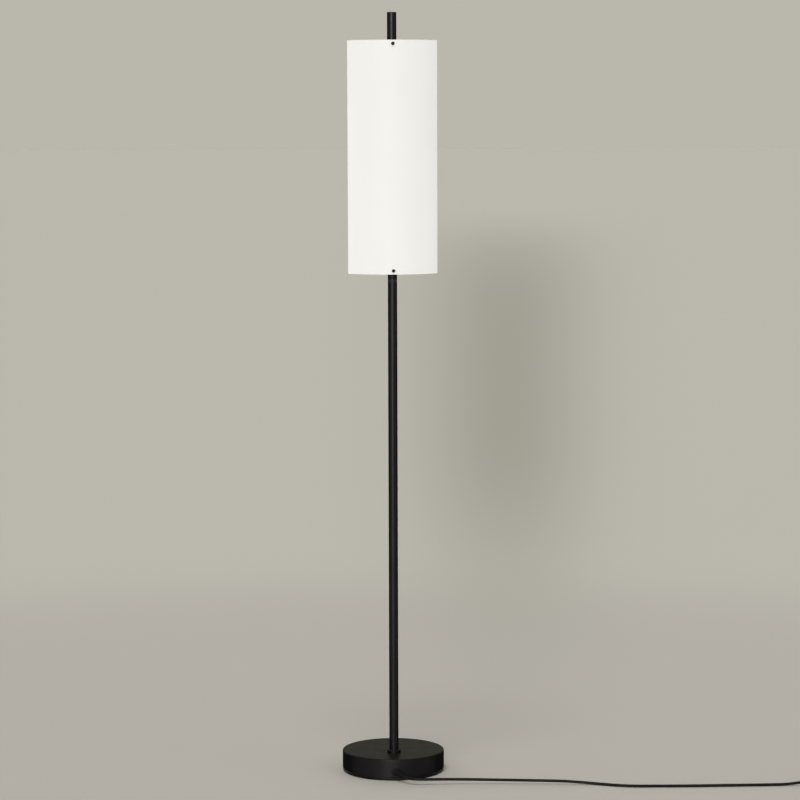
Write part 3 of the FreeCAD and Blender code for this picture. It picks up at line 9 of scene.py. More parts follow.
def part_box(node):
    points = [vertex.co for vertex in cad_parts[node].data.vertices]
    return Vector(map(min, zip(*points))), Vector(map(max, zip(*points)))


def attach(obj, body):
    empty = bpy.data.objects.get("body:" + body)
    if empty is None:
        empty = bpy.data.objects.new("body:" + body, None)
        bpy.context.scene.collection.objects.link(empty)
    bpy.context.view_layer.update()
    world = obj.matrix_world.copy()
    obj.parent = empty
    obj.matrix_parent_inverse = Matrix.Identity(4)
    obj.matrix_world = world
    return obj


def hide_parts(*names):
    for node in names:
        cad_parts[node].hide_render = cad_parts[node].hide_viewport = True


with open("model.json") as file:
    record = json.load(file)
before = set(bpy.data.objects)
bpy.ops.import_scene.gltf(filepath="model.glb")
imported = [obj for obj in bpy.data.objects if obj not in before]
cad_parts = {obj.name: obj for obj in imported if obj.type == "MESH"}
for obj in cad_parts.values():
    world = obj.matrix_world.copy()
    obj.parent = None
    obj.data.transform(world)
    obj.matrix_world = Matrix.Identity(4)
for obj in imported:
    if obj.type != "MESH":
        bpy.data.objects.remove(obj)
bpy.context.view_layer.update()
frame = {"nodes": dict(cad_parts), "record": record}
nodes = frame["nodes"]
scene = bpy.context.scene


# ---------------------------------------------------------------- camera

# fitted to eighteen places of the lamp in the photograph, with its base as the scale
CAMERA_AT = Vector((-0.20408, -5.59630, 1.28010))
YAW, PITCH, ROLL = (math.radians(d) for d in (2.244, -5.571, -0.171))
FOCAL_PIXELS, FRAME_PIXELS, SENSOR = 2881.2, 800, 36.0


def add_camera():
    forward = Vector(
        (math.sin(YAW) * math.cos(PITCH), math.cos(YAW) * math.cos(PITCH), math.sin(PITCH))
    )
    level = forward.cross(Vector((0, 0, 1))).normalized()
    upright = level.cross(forward)
    right = level * math.cos(ROLL) + upright * math.sin(ROLL)
    up = right.cross(forward)
    data = bpy.data.cameras.new("photo_camera")
    data.sensor_width = SENSOR
    data.lens = FOCAL_PIXELS / FRAME_PIXELS * SENSOR
    data.clip_start, data.clip_end = 0.05, 400
    camera = bpy.data.objects.new("photo_camera", data)
    turn = Matrix((right, up, -forward)).transposed()
    camera.matrix_world = Matrix.Translation(CAMERA_AT) @ turn.to_4x4()
    scene.collection.objects.link(camera)
    scene.camera = camera


# ---------------------------------------------------------------- node helpers


class Shader:
    """A node tree, of a new material unless one is given, that short calls fill."""

    def __init__(self, name, tree=None, output="ShaderNodeOutputMaterial", place="Object"):
        if tree is None:
            self.material = bpy.data.materials.new(name)
            self.material.use_nodes = True
            tree = self.material.node_tree
        self.tree = tree
        self.tree.nodes.clear()
        self.output = self.add(output)
        coordinates = self.add("ShaderNodeTexCoord").outputs
        self.place, self.facing = coordinates[place], coordinates["Normal"]

    def add(self, kind, inputs=(), **settings):
        node = self.tree.nodes.new(kind)
        for key, value in settings.items():
            setattr(node, key, value)
        for key, value in dict(inputs).items():
            if isinstance(value, bpy.types.NodeSocket):
                self.tree.links.new(value, node.inputs[key])
            else:
                node.inputs[key].default_value = value
        return node

    def stretched(self, scale):
        """The object's coordinates times a factor for each axis."""
        return self.add("ShaderNodeMapping", {"Vector": self.place, "Scale": scale}).outputs[0]

    def noise(self, scale, detail=3.0, roughness=0.5, vector=None):
        inputs = {"Scale": scale, "Detail": detail, "Roughness": roughness}
        inputs["Vector"] = vector or self.place
        return self.add("ShaderNodeTexNoise", inputs).outputs["Fac"]

    def cells(self, scale):
        inputs = {"Scale": scale, "Vector": self.place}
        return self.add("ShaderNodeTexVoronoi", inputs).outputs["Distance"]

    def span(self, value, low, high, start=0.3, end=0.7):
        """value, where it runs from start to end, mapped to low and high."""
        node = self.add(
            "ShaderNodeMapRange",
            {"Value": value, "From Min": start, "From Max": end, "To Min": low, "To Max": high},
        )
        return node.outputs[0]

    def blend(self, factor, first, second):
        node = self.add("ShaderNodeMix", data_type="RGBA")
        for socket, value in ((0, factor), (6, first), (7, second)):
            if isinstance(value, bpy.types.NodeSocket):
                self.tree.links.new(value, node.inputs[socket])
            else:
                node.inputs[socket].default_value = (*value, 1) if socket else value
        return node.outputs[2]

    def math(self, operation, first, second=0.0):
        return self.add("ShaderNodeMath", {0: first, 1: second}, operation=operation).outputs[0]

    def soft_step(self, value, start, end):
        """0 at start and 1 at end, with a smooth way between."""
        node = self.add(
            "ShaderNodeMapRange",
            {"Value": value, "From Min": start, "From Max": end},
            interpolation_type="SMOOTHERSTEP",
        )
        return node.outputs[0]

    def bell(self, value, middle, width):
        """1 where value is middle, falling off on both sides over width."""
        off = self.math("DIVIDE", self.math("SUBTRACT", value, middle), width)
        return self.math("EXPONENT", self.math("MULTIPLY", self.math("MULTIPLY", off, off), -1.0))

    def bump(self, height, distance, strength=1.0, under=None):
        inputs = {"Height": height, "Distance": distance, "Strength": strength}
        if under:
            inputs["Normal"] = under
        return self.add("ShaderNodeBump", inputs).outputs[0]

    def surface(self, **inputs):
        named = {key.replace("_", " "): value for key, value in inputs.items()}
        shader = self.add("ShaderNodeBsdfPrincipled", named)
        self.tree.links.new(shader.outputs[0], self.output.inputs["Surface"])
        return self.material


# ---------------------------------------------------------------- materials

UPRIGHT_METAL, FLAT_METAL = 0.93, 0.62
# painted reflection: the lighter, warmer tone given to level faces in place of the backdrop they
# mirror
LEVEL_FACE_PAINTED_REFLECTION = (0.0255, 0.0230, 0.0135)
# painted shade: the dark tone that the rounded edges between upright and level faces get, against
# their highlight
EDGE_PAINTED_SHADE = (0.0060, 0.0060, 0.0062)


def powder_coat(name, dark, light, rough=(0.35, 0.41), grain=0.00001):
    """Baked powder with a fine orange peel. Level faces mirror less than upright ones and carry a
    painted reflection, a lighter and warmer tone, and the rounded edges between them carry painted
    shade that keeps them dark."""
    s = Shader(name)
    cloud = s.noise(14, 4)
    peel = s.bump(s.noise(900, 2), grain * 2.2, 0.8)
    fine = s.bump(s.noise(3200, 1), grain, 0.8, peel)
    speck = s.span(s.noise(5200, 1), 0.0, 0.25, 0.55, 0.75)
    tone = s.blend(s.span(cloud, 0.0, 1.0), dark, light)
    tilt = s.add("ShaderNodeSeparateXYZ", {0: s.facing}).outputs[2]
    # painted reflection on the level faces, then painted shade on the rounded edges
    tone = s.blend(s.span(tilt, 0.0, 1.0, 0.6, 0.95), tone, LEVEL_FACE_PAINTED_REFLECTION)
    tone = s.blend(s.math("MULTIPLY", s.bell(tilt, 0.32, 0.24), 0.75), tone, EDGE_PAINTED_SHADE)
    return s.surface(
        Base_Color=s.blend(speck, tone, [c * 1.5 for c in light]),
        Metallic=s.span(tilt, UPRIGHT_METAL, FLAT_METAL, 0.2, 0.9),
        Roughness=s.span(s.noise(60, 3), *rough),
        Specular_IOR_Level=0.3,
        Specular_Tint=(0.0, 0.0, 0.0, 1.0),
        Normal=fine,
    )


def matt_white(name):
    """The bent sheet: matt white coat with a very faint peel."""
    s = Shader(name)
    cloud = s.noise(5, 4)
    peel = s.bump(s.noise(1100, 2), 0.00002, 0.6)
    return s.surface(
        Base_Color=s.blend(s.span(cloud, 0.0, 1.0), (0.846, 0.840, 0.825), (0.862, 0.856, 0.841)),
        Roughness=s.span(s.noise(90, 3), 0.5, 0.6),
        Diffuse_Roughness=1.0,
        Specular_IOR_Level=0.35,
        Normal=peel,
    )


def moulded(name, dark, light, rough=(0.45, 0.6), pitch=2600, depth=0.00003):
    """Injection-moulded plastic with a spark-eroded texture."""
    s = Shader(name)
    texture = s.bump(s.noise(pitch, 2, 0.6), depth, 0.9)
    return s.surface(
        Base_Color=s.blend(s.span(s.noise(25, 3), 0.0, 1.0), dark, light),
        Roughness=s.span(s.noise(160, 3), *rough),
        Specular_IOR_Level=0.35,
        Normal=texture,
    )


def rubber(name):
    s = Shader(name)
    dust = s.span(s.noise(70, 5, 0.7), 0.0, 0.3, 0.5, 0.8)
    skin = s.bump(s.noise(1500, 3), 0.00003, 0.8)
    return s.surface(
        Base_Color=s.blend(dust, (0.0035, 0.0035, 0.0036), (0.012, 0.0117, 0.011)),
        Roughness=s.span(s.noise(120, 3), 0.6, 0.72),
        Specular_IOR_Level=0.16,
        Normal=skin,
    )


def sheath(name):
    """The cord's extruded sheath, with the slight waviness of the cores under it."""
    s = Shader(name)
    waves = s.bump(s.noise(140, 2), 0.00012, 0.5)
    skin = s.bump(s.noise(2400, 2), 0.00002, 0.8, waves)
    dust = s.span(s.noise(90, 5, 0.7), 0.0, 0.3, 0.5, 0.85)
    return s.surface(
        Base_Color=s.blend(dust, (0.0032, 0.0030, 0.0026), (0.0085, 0.0080, 0.0068)),
        Roughness=s.span(s.noise(200, 3), 0.45, 0.56),
        Specular_IOR_Level=0.16,
        Normal=skin,
    )


def strap_weave(name):
    """Hook-and-loop tape: a dense nap of loops over a woven ground."""
    s = Shader(name)
    loops = s.cells(1900)
    weave = s.add(
        "ShaderNodeTexWave", {"Scale": 620.0, "Distortion": 1.5, "Vector": s.place}
    ).outputs["Fac"]
    ground = s.bump(weave, 0.00006, 0.7)
    return s.surface(
        Base_Color=s.blend(
            s.span(loops, 0, 1, 0.0, 0.6), (0.016, 0.016, 0.017), (0.006, 0.006, 0.006)
        ),
        Roughness=s.span(s.noise(300, 3), 0.75, 0.9),
        Specular_IOR_Level=0.2,
        Sheen_Weight=0.15,
        Sheen_Roughness=0.5,
        Normal=s.bump(loops, 0.00012, 0.8, ground),
    )


def metal(name, dark, light, rough=(0.28, 0.42), stretch=(1, 1, 1), pitch=700):
    """Bare or plated metal with tool marks drawn out along an axis."""
    s = Shader(name)
    marks = s.noise(pitch, 3, 0.6, s.stretched(stretch))
    return s.surface(
        Base_Color=s.blend(s.span(s.noise(40, 3), 0.0, 1.0), dark, light),
        Metallic=1.0,
        Roughness=s.span(marks, *rough),
        Normal=s.bump(marks, 0.00002, 0.6),
    )


def cast(name):
    s = Shader(name)
    sand = s.bump(s.noise(420, 5, 0.7), 0.00025, 0.8)
    return s.surface(
        Base_Color=s.blend(s.span(s.noise(30, 4), 0, 1), (0.06, 0.06, 0.062), (0.13, 0.125, 0.12)),
        Metallic=0.7,
        Roughness=s.span(s.noise(200, 4), 0.6, 0.85),
        Normal=sand,
    )


def frosted(name):
    s = Shader(name)
    return s.surface(
        Base_Color=s.blend(s.span(s.noise(20, 3), 0, 1), (0.80, 0.80, 0.79), (0.86, 0.86, 0.84)),
        Roughness=s.span(s.noise(900, 2), 0.38, 0.5),
        Subsurface_Weight=0.25,
        Subsurface_Scale=0.002,
        Normal=s.bump(s.noise(2600, 2), 0.00001, 0.8),
    )


def phosphor(name):
    s = Shader(name)
    return s.surface(
        Base_Color=s.blend(s.span(s.noise(300, 3), 0, 1), (0.80, 0.58, 0.10), (0.88, 0.72, 0.24)),
        Roughness=s.span(s.noise(700, 2), 0.2, 0.35),
        Coat_Weight=0.4,
        Normal=s.bump(s.noise(1500, 2), 0.00001, 0.5),
    )


def assign_materials():
    """Makes the material of each slot of the record and gives it to the CAD's pieces."""
    slots = {
        "black_coat": powder_coat(
            "black_coat", (0.0243, 0.0231, 0.0252), (0.0278, 0.0265, 0.0288)
        ),
        "white_coat": matt_white("white_coat"),
        "blackened_steel": metal(
            "blackened_steel", (0.014, 0.014, 0.0142), (0.022, 0.0215, 0.021), (0.4, 0.5)
        ),
        "zinc_steel": metal("zinc_steel", (0.50, 0.51, 0.52), (0.60, 0.61, 0.62)),
        "grey_iron": cast("grey_iron"),
        "plain_aluminium": metal(
            "plain_aluminium", (0.66, 0.67, 0.68), (0.76, 0.77, 0.78), stretch=(1, 1, 0.03)
        ),
        "black_rubber": rubber("black_rubber"),
        "cord_sheath": sheath("cord_sheath"),
        "wire_insulation": moulded("wire_insulation", (0.24, 0.10, 0.04), (0.32, 0.14, 0.06)),
        "black_plastic": moulded(
            "black_plastic", (0.0075, 0.0075, 0.0078), (0.0115, 0.0115, 0.0119)
        ),
        "black_button": moulded(
            "black_button",
            (0.012, 0.012, 0.0125),
            (0.017, 0.017, 0.0175),
            rough=(0.2, 0.3),
            pitch=900,
            depth=0.00001,
        ),
        "white_plastic": moulded("white_plastic", (0.70, 0.70, 0.68), (0.76, 0.76, 0.74)),
        "nylon": moulded("nylon", (0.72, 0.70, 0.62), (0.80, 0.78, 0.70)),
        "board_white": moulded(
            "board_white", (0.80, 0.80, 0.78), (0.85, 0.85, 0.83), (0.2, 0.3)
        ),
        "phosphor": phosphor("phosphor"),
        "frosted_lens": frosted("frosted_lens"),
        "plated_pins": metal(
            "plated_pins", (0.66, 0.65, 0.62), (0.74, 0.73, 0.70), (0.12, 0.22)
        ),
    }
    for part in frame["record"]["subparts"]:
        obj = nodes[part["node"]]
        for slot in obj.material_slots:
            slot.material = slots[part["material_slot"]]
    return slots


# ---------------------------------------------------------------- floor, background and light

FLOOR_HALF, FLOOR_SINK = 120.0, 0.00005
# the paper's colour with painted light: the far tone is lighter and warmer than the near one
NEAR_FLOOR = (0.4470, 0.4270, 0.3855)
FAR_FLOOR = (0.4940, 0.4765, 0.4205)
# the colour of the screen's painted shadow on the floor
CAST_SHADE = (0.3600, 0.3510, 0.2930)
BACKDROP = (0.4910, 0.4740, 0.4150)
AMBIENT = 0.345
# distances from the lamp between which the floor's painted light changes, lighter and warmer
# further off
TONE_START, TONE_END = 1.4, 3.1
# the painted shadow of the screen behind the lamp: its middle line, its half width and where it
# comes and goes
SHADE_SIDE, SHADE_SLOPE = 0.224, 0.0765
SHADE_WIDTH, SHADE_GROWTH = 0.168, 0.030
SHADE_COMES, SHADE_GOES = (-1.5, 6.8), (40.0, 9.0)
# name, azimuth, elevation, strength, spread, and whether gloss shows it
SUNS = (
    ("key", -12, 10, 1.46, 25, True),
    ("right", 55, 20, 0.38, 50, False),
    ("left", -68, 20, 0.22, 50, False),
    ("top", -14, 66, 1.30, 24, False),
    ("back", 175, 14, 1.10, 60, False),
    ("rim", -135, 20, 0.35, 40, True),
)
GLINT_AT, GLINT_POWER, GLINT_SIZE = (-0.30, -3.0, 1.55), 60, 0.22


def add_floor():
    """A seamless paper floor with painted light, lighter and warmer far from the lamp, and with
    the faint long shadow of the screen painted behind it."""
    mesh = bpy.data.meshes.new("studio_floor")
    half = FLOOR_HALF
    mesh.from_pydata(
        [(-half, -half, 0), (half, -half, 0), (half, half, 0), (-half, half, 0)],
        [],
        [(0, 1, 2, 3)],
    )
    floor = bpy.data.objects.new("studio_floor", mesh)
    floor.location.z = -FLOOR_SINK
    scene.collection.objects.link(floor)
    s = Shader("studio_floor")
    x, y, _ = s.add("ShaderNodeSeparateXYZ", {0: s.place}).outputs
    away = s.add("ShaderNodeVectorMath", {0: s.place}, operation="LENGTH").outputs["Value"]
    # painted light: the floor turns lighter and warmer away from the lamp
    paper_with_painted_light = s.blend(s.soft_step(away, TONE_START, TONE_END), NEAR_FLOOR, FAR_FLOOR)
    # a painted shadow: the screen's long shade, painted into the floor's colour behind the lamp
    lane = s.math("SUBTRACT", x, s.math("MULTIPLY", y, SHADE_SLOPE))
    lane = s.math("SUBTRACT", lane, SHADE_SIDE)
    reach = s.math("MULTIPLY", s.math("MAXIMUM", y, 0.0), SHADE_GROWTH)
    reach = s.math("ADD", reach, SHADE_WIDTH)
    shade = s.math(
        "MULTIPLY",
        s.bell(s.math("DIVIDE", lane, reach), 0.0, 1.0),
        s.math("MULTIPLY", s.soft_step(y, *SHADE_COMES), s.soft_step(y, *SHADE_GOES)),
    )
    floor_colour = s.blend(shade, paper_with_painted_light, CAST_SHADE)
    mesh.materials.append(
        s.surface(Base_Color=floor_colour, Roughness=0.9, Specular_IOR_Level=0.0)
    )


def add_world():
    """An even light on every surface, and a pale backdrop for the camera, gloss and glass."""
    world = bpy.data.worlds.new("studio")
    world.use_nodes = True
    scene.world = world
    s = Shader("world_nodes", world.node_tree, "ShaderNodeOutputWorld", "Generated")
    ray = s.add("ShaderNodeLightPath").outputs
    seen = s.math("MAXIMUM", ray["Is Camera Ray"], ray["Is Transmission Ray"])
    seen = s.math("MAXIMUM", seen, ray["Is Glossy Ray"])
    light = s.add("ShaderNodeBackground", {"Color": (1, 1, 1, 1), "Strength": AMBIENT})
    backdrop = s.add("ShaderNodeBackground", {"Color": (*BACKDROP, 1), "Strength": 1.0})
    mix = s.add("ShaderNodeMixShader", {0: seen, 1: light.outputs[0], 2: backdrop.outputs[0]})
    s.tree.links.new(mix.outputs[0], s.output.inputs["Surface"])


def add_sun(name, azimuth, elevation, strength, spread, mirrored):
    """A distant soft light. Azimuth 0 shines along +Y and 90 along -X. One that isn't mirrored
    lights surfaces without a highlight of its own."""
    a, e = math.radians(azimuth), math.radians(elevation)
    back = Vector((math.sin(a) * math.cos(e), -math.cos(a) * math.cos(e), math.sin(e)))
    data = bpy.data.lights.new(name, "SUN")
    data.energy = strength
    data.angle = math.radians(spread)
    light = bpy.data.objects.new(name, data)
    light.rotation_mode = "QUATERNION"
    light.rotation_quaternion = back.to_track_quat("Z", "Y")
    light.location = back * 4
    light.visible_glossy = mirrored
    scene.collection.objects.link(light)


def add_glint():
    """A near soft light that only adds the highlight on the upper part of the post."""
    data = bpy.data.lights.new("glint", "POINT")
    data.energy = GLINT_POWER
    data.shadow_soft_size = GLINT_SIZE
    light = bpy.data.objects.new("glint", data)
    light.location = GLINT_AT
    light.visible_camera = False
    light.visible_diffuse = False
    scene.collection.objects.link(light)


# ---------------------------------------------------------------- cord

CORD_RADIUS = 0.00275
# the gland's tail: its root on the flange, and its way from +X towards +Y and upwards
TAIL_ROOT = Vector((0.0033, -0.1025, 0.017))
TAIL_LENGTH, TAIL_HEADING, TAIL_SLOPE = 0.021, -52.0, -9.0
FIRST_RUN = 0.016
# control points over the floor, from the bend after the tail to the foot switch
CORD_ROUTE = [
    (0.0404, -0.1376, 0.0112),
    (0.0600, -0.1382, 0.0110),
    (0.0920, -0.1356, 0.0104),
    (0.1400, -0.1342, 0.0093),
    (0.2000, -0.1370, 0.0083),
    (0.2620, -0.1410, 0.0074),
    (0.3180, -0.1462, 0.0069),
    (0.3520, -0.1486, 0.0049),
    (0.3860, -0.1550, 0.0029),
    (0.4200, -0.1694, 0.0028),
    (0.4520, -0.1786, 0.0028),
    (0.5020, -0.1804, 0.0028),
    (0.5620, -0.1826, 0.0028),
    (0.6300, -0.1818, 0.0028),
    (0.7020, -0.1816, 0.0028),
    (0.7520, -0.1806, 0.0029),
    (0.7850, -0.1780, 0.0070),
    (0.8060, -0.1743, 0.0070),
]
SWITCH_HEADING, SWITCH_SPAN = 10.0, 0.080
# the coil: quarter turns, its outer turn, the way from turn to turn and its lift by the strap
COIL_QUARTERS, COIL_RADIUS, COIL_PITCH, COIL_LIFT = 22, 0.039, 0.0061, 0.00115
COIL_LOW, COIL_LAYER, COIL_LEAD = CORD_RADIUS + COIL_LIFT, 0.00595, 0.034
PLUG_LEAD, PLUG_THICKNESS = 0.027, 0.01370
# a spline with twelve control points a turn runs this much inside them
INSIDE = (3 + math.cos(math.radians(30))) / 4


def heading(degrees, slope=0.0):
    turn, rise = math.radians(degrees), math.radians(slope)
    return Vector(
        (math.cos(turn) * math.cos(rise), math.sin(turn) * math.cos(rise), math.sin(rise))
    )


def coil_points(centre):
    """Twelve points a turn: in on the lower layer, up, and out on the upper layer."""
    points = []
    middle = COIL_QUARTERS / 2
    for third in range(COIL_QUARTERS * 3 + 1):
        quarters = third / 3
        radius = COIL_RADIUS - (middle - abs(quarters - middle)) * COIL_PITCH / 4
        climbed = min(max((quarters - middle + 1) / 2, 0.0), 1.0)
        out = heading(SWITCH_HEADING + 90 * quarters - 90) * (radius / INSIDE)
        points.append(centre + out + Vector((0, 0, COIL_LOW + COIL_LAYER * climbed)))
    return points


TAIL_WAY = heading(TAIL_HEADING, TAIL_SLOPE)


def cord_points():
    """The tip of the gland's tail, and the control points from there to the plug."""
    tip = TAIL_ROOT + TAIL_WAY * TAIL_LENGTH
    route = [tip, tip + TAIL_WAY * FIRST_RUN] + [Vector(p) for p in CORD_ROUTE]
    way = heading(SWITCH_HEADING)
    leaving = route[-1] + way * SWITCH_SPAN
    route += [route[-1] + way * SWITCH_SPAN / 2, leaving, leaving + way * 2 * CORD_RADIUS]
    entry = leaving + way * COIL_LEAD
    centre = entry + heading(SWITCH_HEADING + 90) * COIL_RADIUS
    centre.z = 0
    route += coil_points(centre)
    plug_way = heading(SWITCH_HEADING + 90 * COIL_QUARTERS)
    last = centre + heading(SWITCH_HEADING + 90 * COIL_QUARTERS - 90) * COIL_RADIUS
    plug_entry = last + plug_way * PLUG_LEAD
    plug_entry.z = PLUG_THICKNESS / 2
    route += [plug_entry - plug_way * 2 * CORD_RADIUS, plug_entry]
    return tip, route


def add_cord(material):
    """The cord from the gland to the plug, one line through the switch and the coil."""
    tip, route = cord_points()
    data = bpy.data.curves.new("power_cord_line", "CURVE")
    data.dimensions = "3D"
    spline = data.splines.new("NURBS")
    spline.points.add(len(route) - 1)
    for point, where in zip(spline.points, route):
        point.co = (*where, 1)
    spline.order_u = 3
    spline.use_endpoint_u = True
    spline.resolution_u = 10
    data.bevel_depth = CORD_RADIUS
    data.bevel_resolution = 6
    data.use_fill_caps = True
    data.materials.append(material)
    cord = bpy.data.objects.new("power_cord_line", data)
    scene.collection.objects.link(cord)
    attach(cord, "base")
    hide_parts("power_cord", "cord_coil")


# ---------------------------------------------------------------- rubber and strap pieces

BASE_RADIUS, COVER_GAP = 0.100, 0.00004
FLANGE_FACE = TAIL_ROOT.y
FLANGE_HALF_HEIGHT, FLANGE_OFFSET = 0.0075, 0.0030
# from the cover outwards: the outline's scale, and how far it lies behind the flange's face
FLANGE_RINGS = (
    (1.0, None),
    (1.0, 0.0006),
    (0.985, 0.0002),
    (0.95, 0.0),
    (0.80, 0.0),
    (0.77, -0.0003),
    (0.70, -0.0006),
    (0.60, -0.0006),
)
FLANGE_TURNS, TAIL_TURNS, SLEEVE_TURNS, FOOT_TURNS = 72, 56, 44, 120
NECK_RADIUS, NECK_SINK = 0.0055, 0.0004
INNER_FLANGE_RADIUS, INNER_FLANGE, INNER_BEVEL = 0.0070, 0.0012, 0.0003
# a ribbed taper: its foot inside the wall as (distance, radius), its radii and its bore
TAIL = {
    "length": TAIL_LENGTH,
    "foot": [(-0.0030, 0.0046), (-0.0008, 0.0051), (0.0004, 0.0052)],
    "root": 0.0052,
    "tip": 0.0037,
    "ribs": 7,
    "groove": 0.00065,
    "bore": CORD_RADIUS + 0.00008,
    "flare": 0.0002,
    "depth": 0.0040,
}
SLEEVE = {
    "length": 0.009,
    "foot": [(-0.0018, 0.0036), (-0.0004, 0.0040), (0.0003, 0.0044)],
    "root": 0.0044,
    "tip": 0.0035,
    "ribs": 3,
    "groove": 0.00045,
    "bore": CORD_RADIUS + 0.0001,
    "flare": 0.0001,
    "depth": 0.0015,
}
# one rib: the share of the pitch, and the share of the groove's depth taken off there
RIB = ((0.0, 1), (0.10, 0.25), (0.16, 0), (0.62, 0), (0.68, 0.25), (0.78, 1))
RIBS_START, RIBS_SPARE, MOUTH, LIP, FLARE_RUN = 0.0010, 0.0025, 0.0012, 0.0004, 0.0002
STRAP_WALL, STRAP_CORNER, STRAP_EDGE, STRAP_STEPS = 0.0008, 0.0016, 0.00025, 5
# the strap's free end: its share of the top, and where on it the lift and the taper start
LAP_SHARE, LAP_LIFTS_AT, LAP_TAPERS_AT = 0.86, 0.75, 0.82
LAP_GAP, LAP_LIFT, LAP_TAPER, LAP_STEPS = 0.00002, 0.0080, 0.35, 14
LAP_WALL, LAP_EDGE, LAP_FLAT = 0.0007, 0.0005, 0.96
FOOT_WIDTH, FOOT_SOFT, FOOT_GROOVE, FOOT_GROOVE_RIM = 0.009, 0.0004, 0.0003, 0.0005


def mesh_piece(name, rings, material, node=None, closed=False):
    """Skins rings of equal count, and closes each end with a fan or joins last to first."""
    count = len(rings[0])
    points = [tuple(point) for ring in rings for point in ring]
    starts = [count * i for i in range(len(rings))]
    following = starts[1:] + starts[:1] if closed else starts[1:]
    faces = []
    for one, two in zip(starts, following):
        for i in range(count):
            j = (i + 1) % count
            faces.append((one + i, one + j, two + j, two + i))
    if not closed:
        for start in (starts[0], starts[-1]):
            rim = [Vector(point) for point in points[start : start + count]]
            points.append(tuple(sum(rim, Vector()) / count))
            middle = len(points) - 1
            faces += [(start + i, start + (i + 1) % count, middle) for i in range(count)]
    mesh = bpy.data.meshes.new(name)
    mesh.from_pydata(points, [], faces)
    mesh.validate()
    made = bmesh.new()
    made.from_mesh(mesh)
    bmesh.ops.recalc_face_normals(made, faces=made.faces)
    made.to_mesh(mesh)
    made.free()
    mesh.polygons.foreach_set("use_smooth", [True] * len(mesh.polygons))
    mesh.set_sharp_from_angle(angle=math.radians(38))
    mesh.materials.append(material)
    piece = bpy.data.objects.new(name, mesh)
    scene.collection.objects.link(piece)
    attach(piece, "base")
    if node:
        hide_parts(node)
    return piece


def turns(count):
    """Equal steps of a full turn."""
    return [2 * math.pi * i / count for i in range(count)]


def rings_along(start, way, profile, segments):
    """Circles round a straight axis, one for each (distance, radius) of the profile."""
    way = way.normalized()
    side = way.orthogonal().normalized()
    other = way.cross(side)
    return [
        [
            start + way * distance + (side * math.cos(turn) + other * math.sin(turn)) * radius
            for turn in turns(segments)
        ]
        for distance, radius in profile
    ]


def ribbed_profile(length, foot, root, tip, ribs, groove, bore, flare, depth):
    """A taper with soft-edged grooves between its ribs, and a rounded mouth round its bore."""
    profile = list(foot)
    pitch = (length - RIBS_SPARE) / ribs
    for rib in range(ribs):
        for share, sunk in RIB:
            along = RIBS_START + (rib + share) * pitch
            profile.append((along, root + (tip - root) * along / length - groove * sunk))
    profile += [(length - MOUTH, tip), (length - LIP, tip), (length, tip - LIP)]
    return profile + [(length, bore + flare), (length - FLARE_RUN, bore), (length - depth, bore)]


def add_gland(material):
    """The strain relief: an oval flange on the cover's curve, a neck and a ribbed tail."""
    root = TAIL_ROOT
    flange = []
    for scale, back in FLANGE_RINGS:
        ring = []
        for turn in turns(FLANGE_TURNS):
            across = FLANGE_OFFSET * max(-1.0, min(1.0, 3 * math.cos(turn)))
            x = root.x + across + FLANGE_HALF_HEIGHT * scale * math.cos(turn)
            z = root.z + FLANGE_HALF_HEIGHT * scale * math.sin(turn)
            cover = -math.sqrt(BASE_RADIUS**2 - x * x) - COVER_GAP
            ring.append(Vector((x, cover if back is None else FLANGE_FACE + back, z)))
        flange.append(ring)
    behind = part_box("strain_relief")[1][1] - FLANGE_FACE - NECK_SINK
    shoulder = behind - INNER_FLANGE
    neck = [
        (0, NECK_RADIUS),
        (shoulder, NECK_RADIUS),
        (shoulder, INNER_FLANGE_RADIUS),
        (behind - INNER_BEVEL, INNER_FLANGE_RADIUS),
        (behind, INNER_FLANGE_RADIUS - INNER_BEVEL),
    ]
    neck_root = Vector((root.x, FLANGE_FACE + NECK_SINK, root.z))
    neck = rings_along(neck_root, Vector((0, 1, 0)), neck, TAIL_TURNS)
    tail = rings_along(root, TAIL_WAY, ribbed_profile(**TAIL), TAIL_TURNS)
    return [
        mesh_piece("gland_flange", flange, material, "strain_relief"),
        mesh_piece("gland_neck", neck, material),
        mesh_piece("gland_tail", tail, material),
    ]


def add_sleeves(material):
    """The two ribbed sleeves of the foot switch."""
    way = heading(SWITCH_HEADING)
    entry = Vector(CORD_ROUTE[-1])
    sleeves = []
    for name, mouth, outward in (
        ("switch_sleeve_in", entry, -way),
        ("switch_sleeve_out", entry + way * SWITCH_SPAN, way),
    ):
        start = mouth - outward * SLEEVE["length"]
        rings = rings_along(start, outward, ribbed_profile(**SLEEVE), SLEEVE_TURNS)
        sleeves.append(mesh_piece(name, rings, material, "switch_reliefs"))
    return sleeves


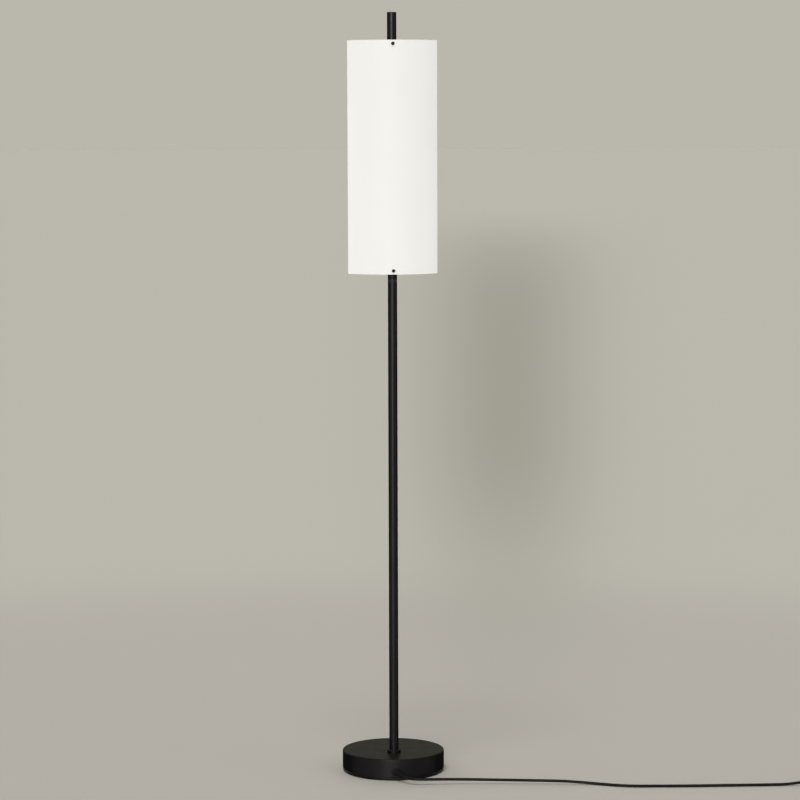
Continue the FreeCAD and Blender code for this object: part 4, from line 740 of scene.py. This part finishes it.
def add_strap(material):
    """The hook-and-loop strap round the coil, its free end lapped over the top."""
    low, high = (Vector(corner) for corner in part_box("coil_tie"))
    middle, half = (low + high) / 2, (high - low) / 2
    corner, edge = STRAP_CORNER, STRAP_EDGE
    section = (
        (-half.y + edge, 0),
        (half.y - edge, 0),
        (half.y, edge),
        (half.y, STRAP_WALL - edge),
        (half.y - edge, STRAP_WALL),
        (-half.y + edge, STRAP_WALL),
        (-half.y, STRAP_WALL - edge),
        (-half.y, edge),
    )
    band = []
    for quarter, (side, rise) in enumerate(((1, 1), (-1, 1), (-1, -1), (1, -1))):
        bend = middle + Vector((side * (half.x - corner), 0, rise * (half.z - corner)))
        for step in range(STRAP_STEPS + 1):
            turn = math.radians(90 * quarter + 90 * step / STRAP_STEPS)
            out = Vector((math.cos(turn), 0, math.sin(turn)))
            band.append([bend + out * (corner - deep) + Vector((0, y, 0)) for y, deep in section])
    lap = []
    lap_section = (
        (-1, 0),
        (1, 0),
        (1, LAP_EDGE),
        (LAP_FLAT, LAP_WALL),
        (-LAP_FLAT, LAP_WALL),
        (-1, LAP_EDGE),
    )
    for step in range(LAP_STEPS + 1):
        share = step / LAP_STEPS
        x = middle.x + (half.x - corner) * (1 - 2 * LAP_SHARE * share)
        z = high.z + LAP_GAP + LAP_LIFT * max(0.0, share - LAP_LIFTS_AT) ** 2
        tapered = max(0.0, share - LAP_TAPERS_AT) / (1 - LAP_TAPERS_AT)
        width = half.y * (1 - LAP_TAPER * tapered)
        lap.append([Vector((x, middle.y + y * width, z + h)) for y, h in lap_section])
    return [
        mesh_piece("coil_strap", band, material, "coil_tie", closed=True),
        mesh_piece("coil_strap_end", lap, material),
    ]


def add_foot_ring(material):
    """The rubber ring under the plate, with rounded edges and two grooves."""
    low, high = (Vector(corner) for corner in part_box("foot_pad"))
    middle, thick = (low + high) / 2, high.z - low.z
    outer = (high.x - low.x) / 2
    inner = outer - FOOT_WIDTH
    soft, groove, rim = FOOT_SOFT, FOOT_GROOVE, FOOT_GROOVE_RIM
    near = soft * 0.3
    profile = [(inner, soft), (inner + near, near), (inner + soft, 0)]
    for at in (inner + FOOT_WIDTH / 3, inner + FOOT_WIDTH * 2 / 3):
        profile += [(at - rim, 0), (at - groove, groove), (at + groove, groove), (at + rim, 0)]
    profile += [(outer - soft, 0), (outer - near, near), (outer, soft)]
    profile += [(outer, thick), (inner, thick)]
    rings = [
        [
            Vector((middle.x + radius * math.cos(t), middle.y + radius * math.sin(t), low.z + z))
            for t in turns(FOOT_TURNS)
        ]
        for radius, z in profile
    ]
    mesh_piece("foot_ring", rings, material, "foot_pad", closed=True)


# ---------------------------------------------------------------- the scene

add_camera()
slots = assign_materials()
add_floor()
add_world()
for sun in SUNS:
    add_sun(*sun)
add_glint()
gland = add_gland(slots["black_rubber"])
sleeves = add_sleeves(slots["black_rubber"])
strap = add_strap(strap_weave("strap_weave"))
add_foot_ring(slots["black_rubber"])
add_cord(slots["cord_sheath"])

scene.view_settings.view_transform = "Standard"
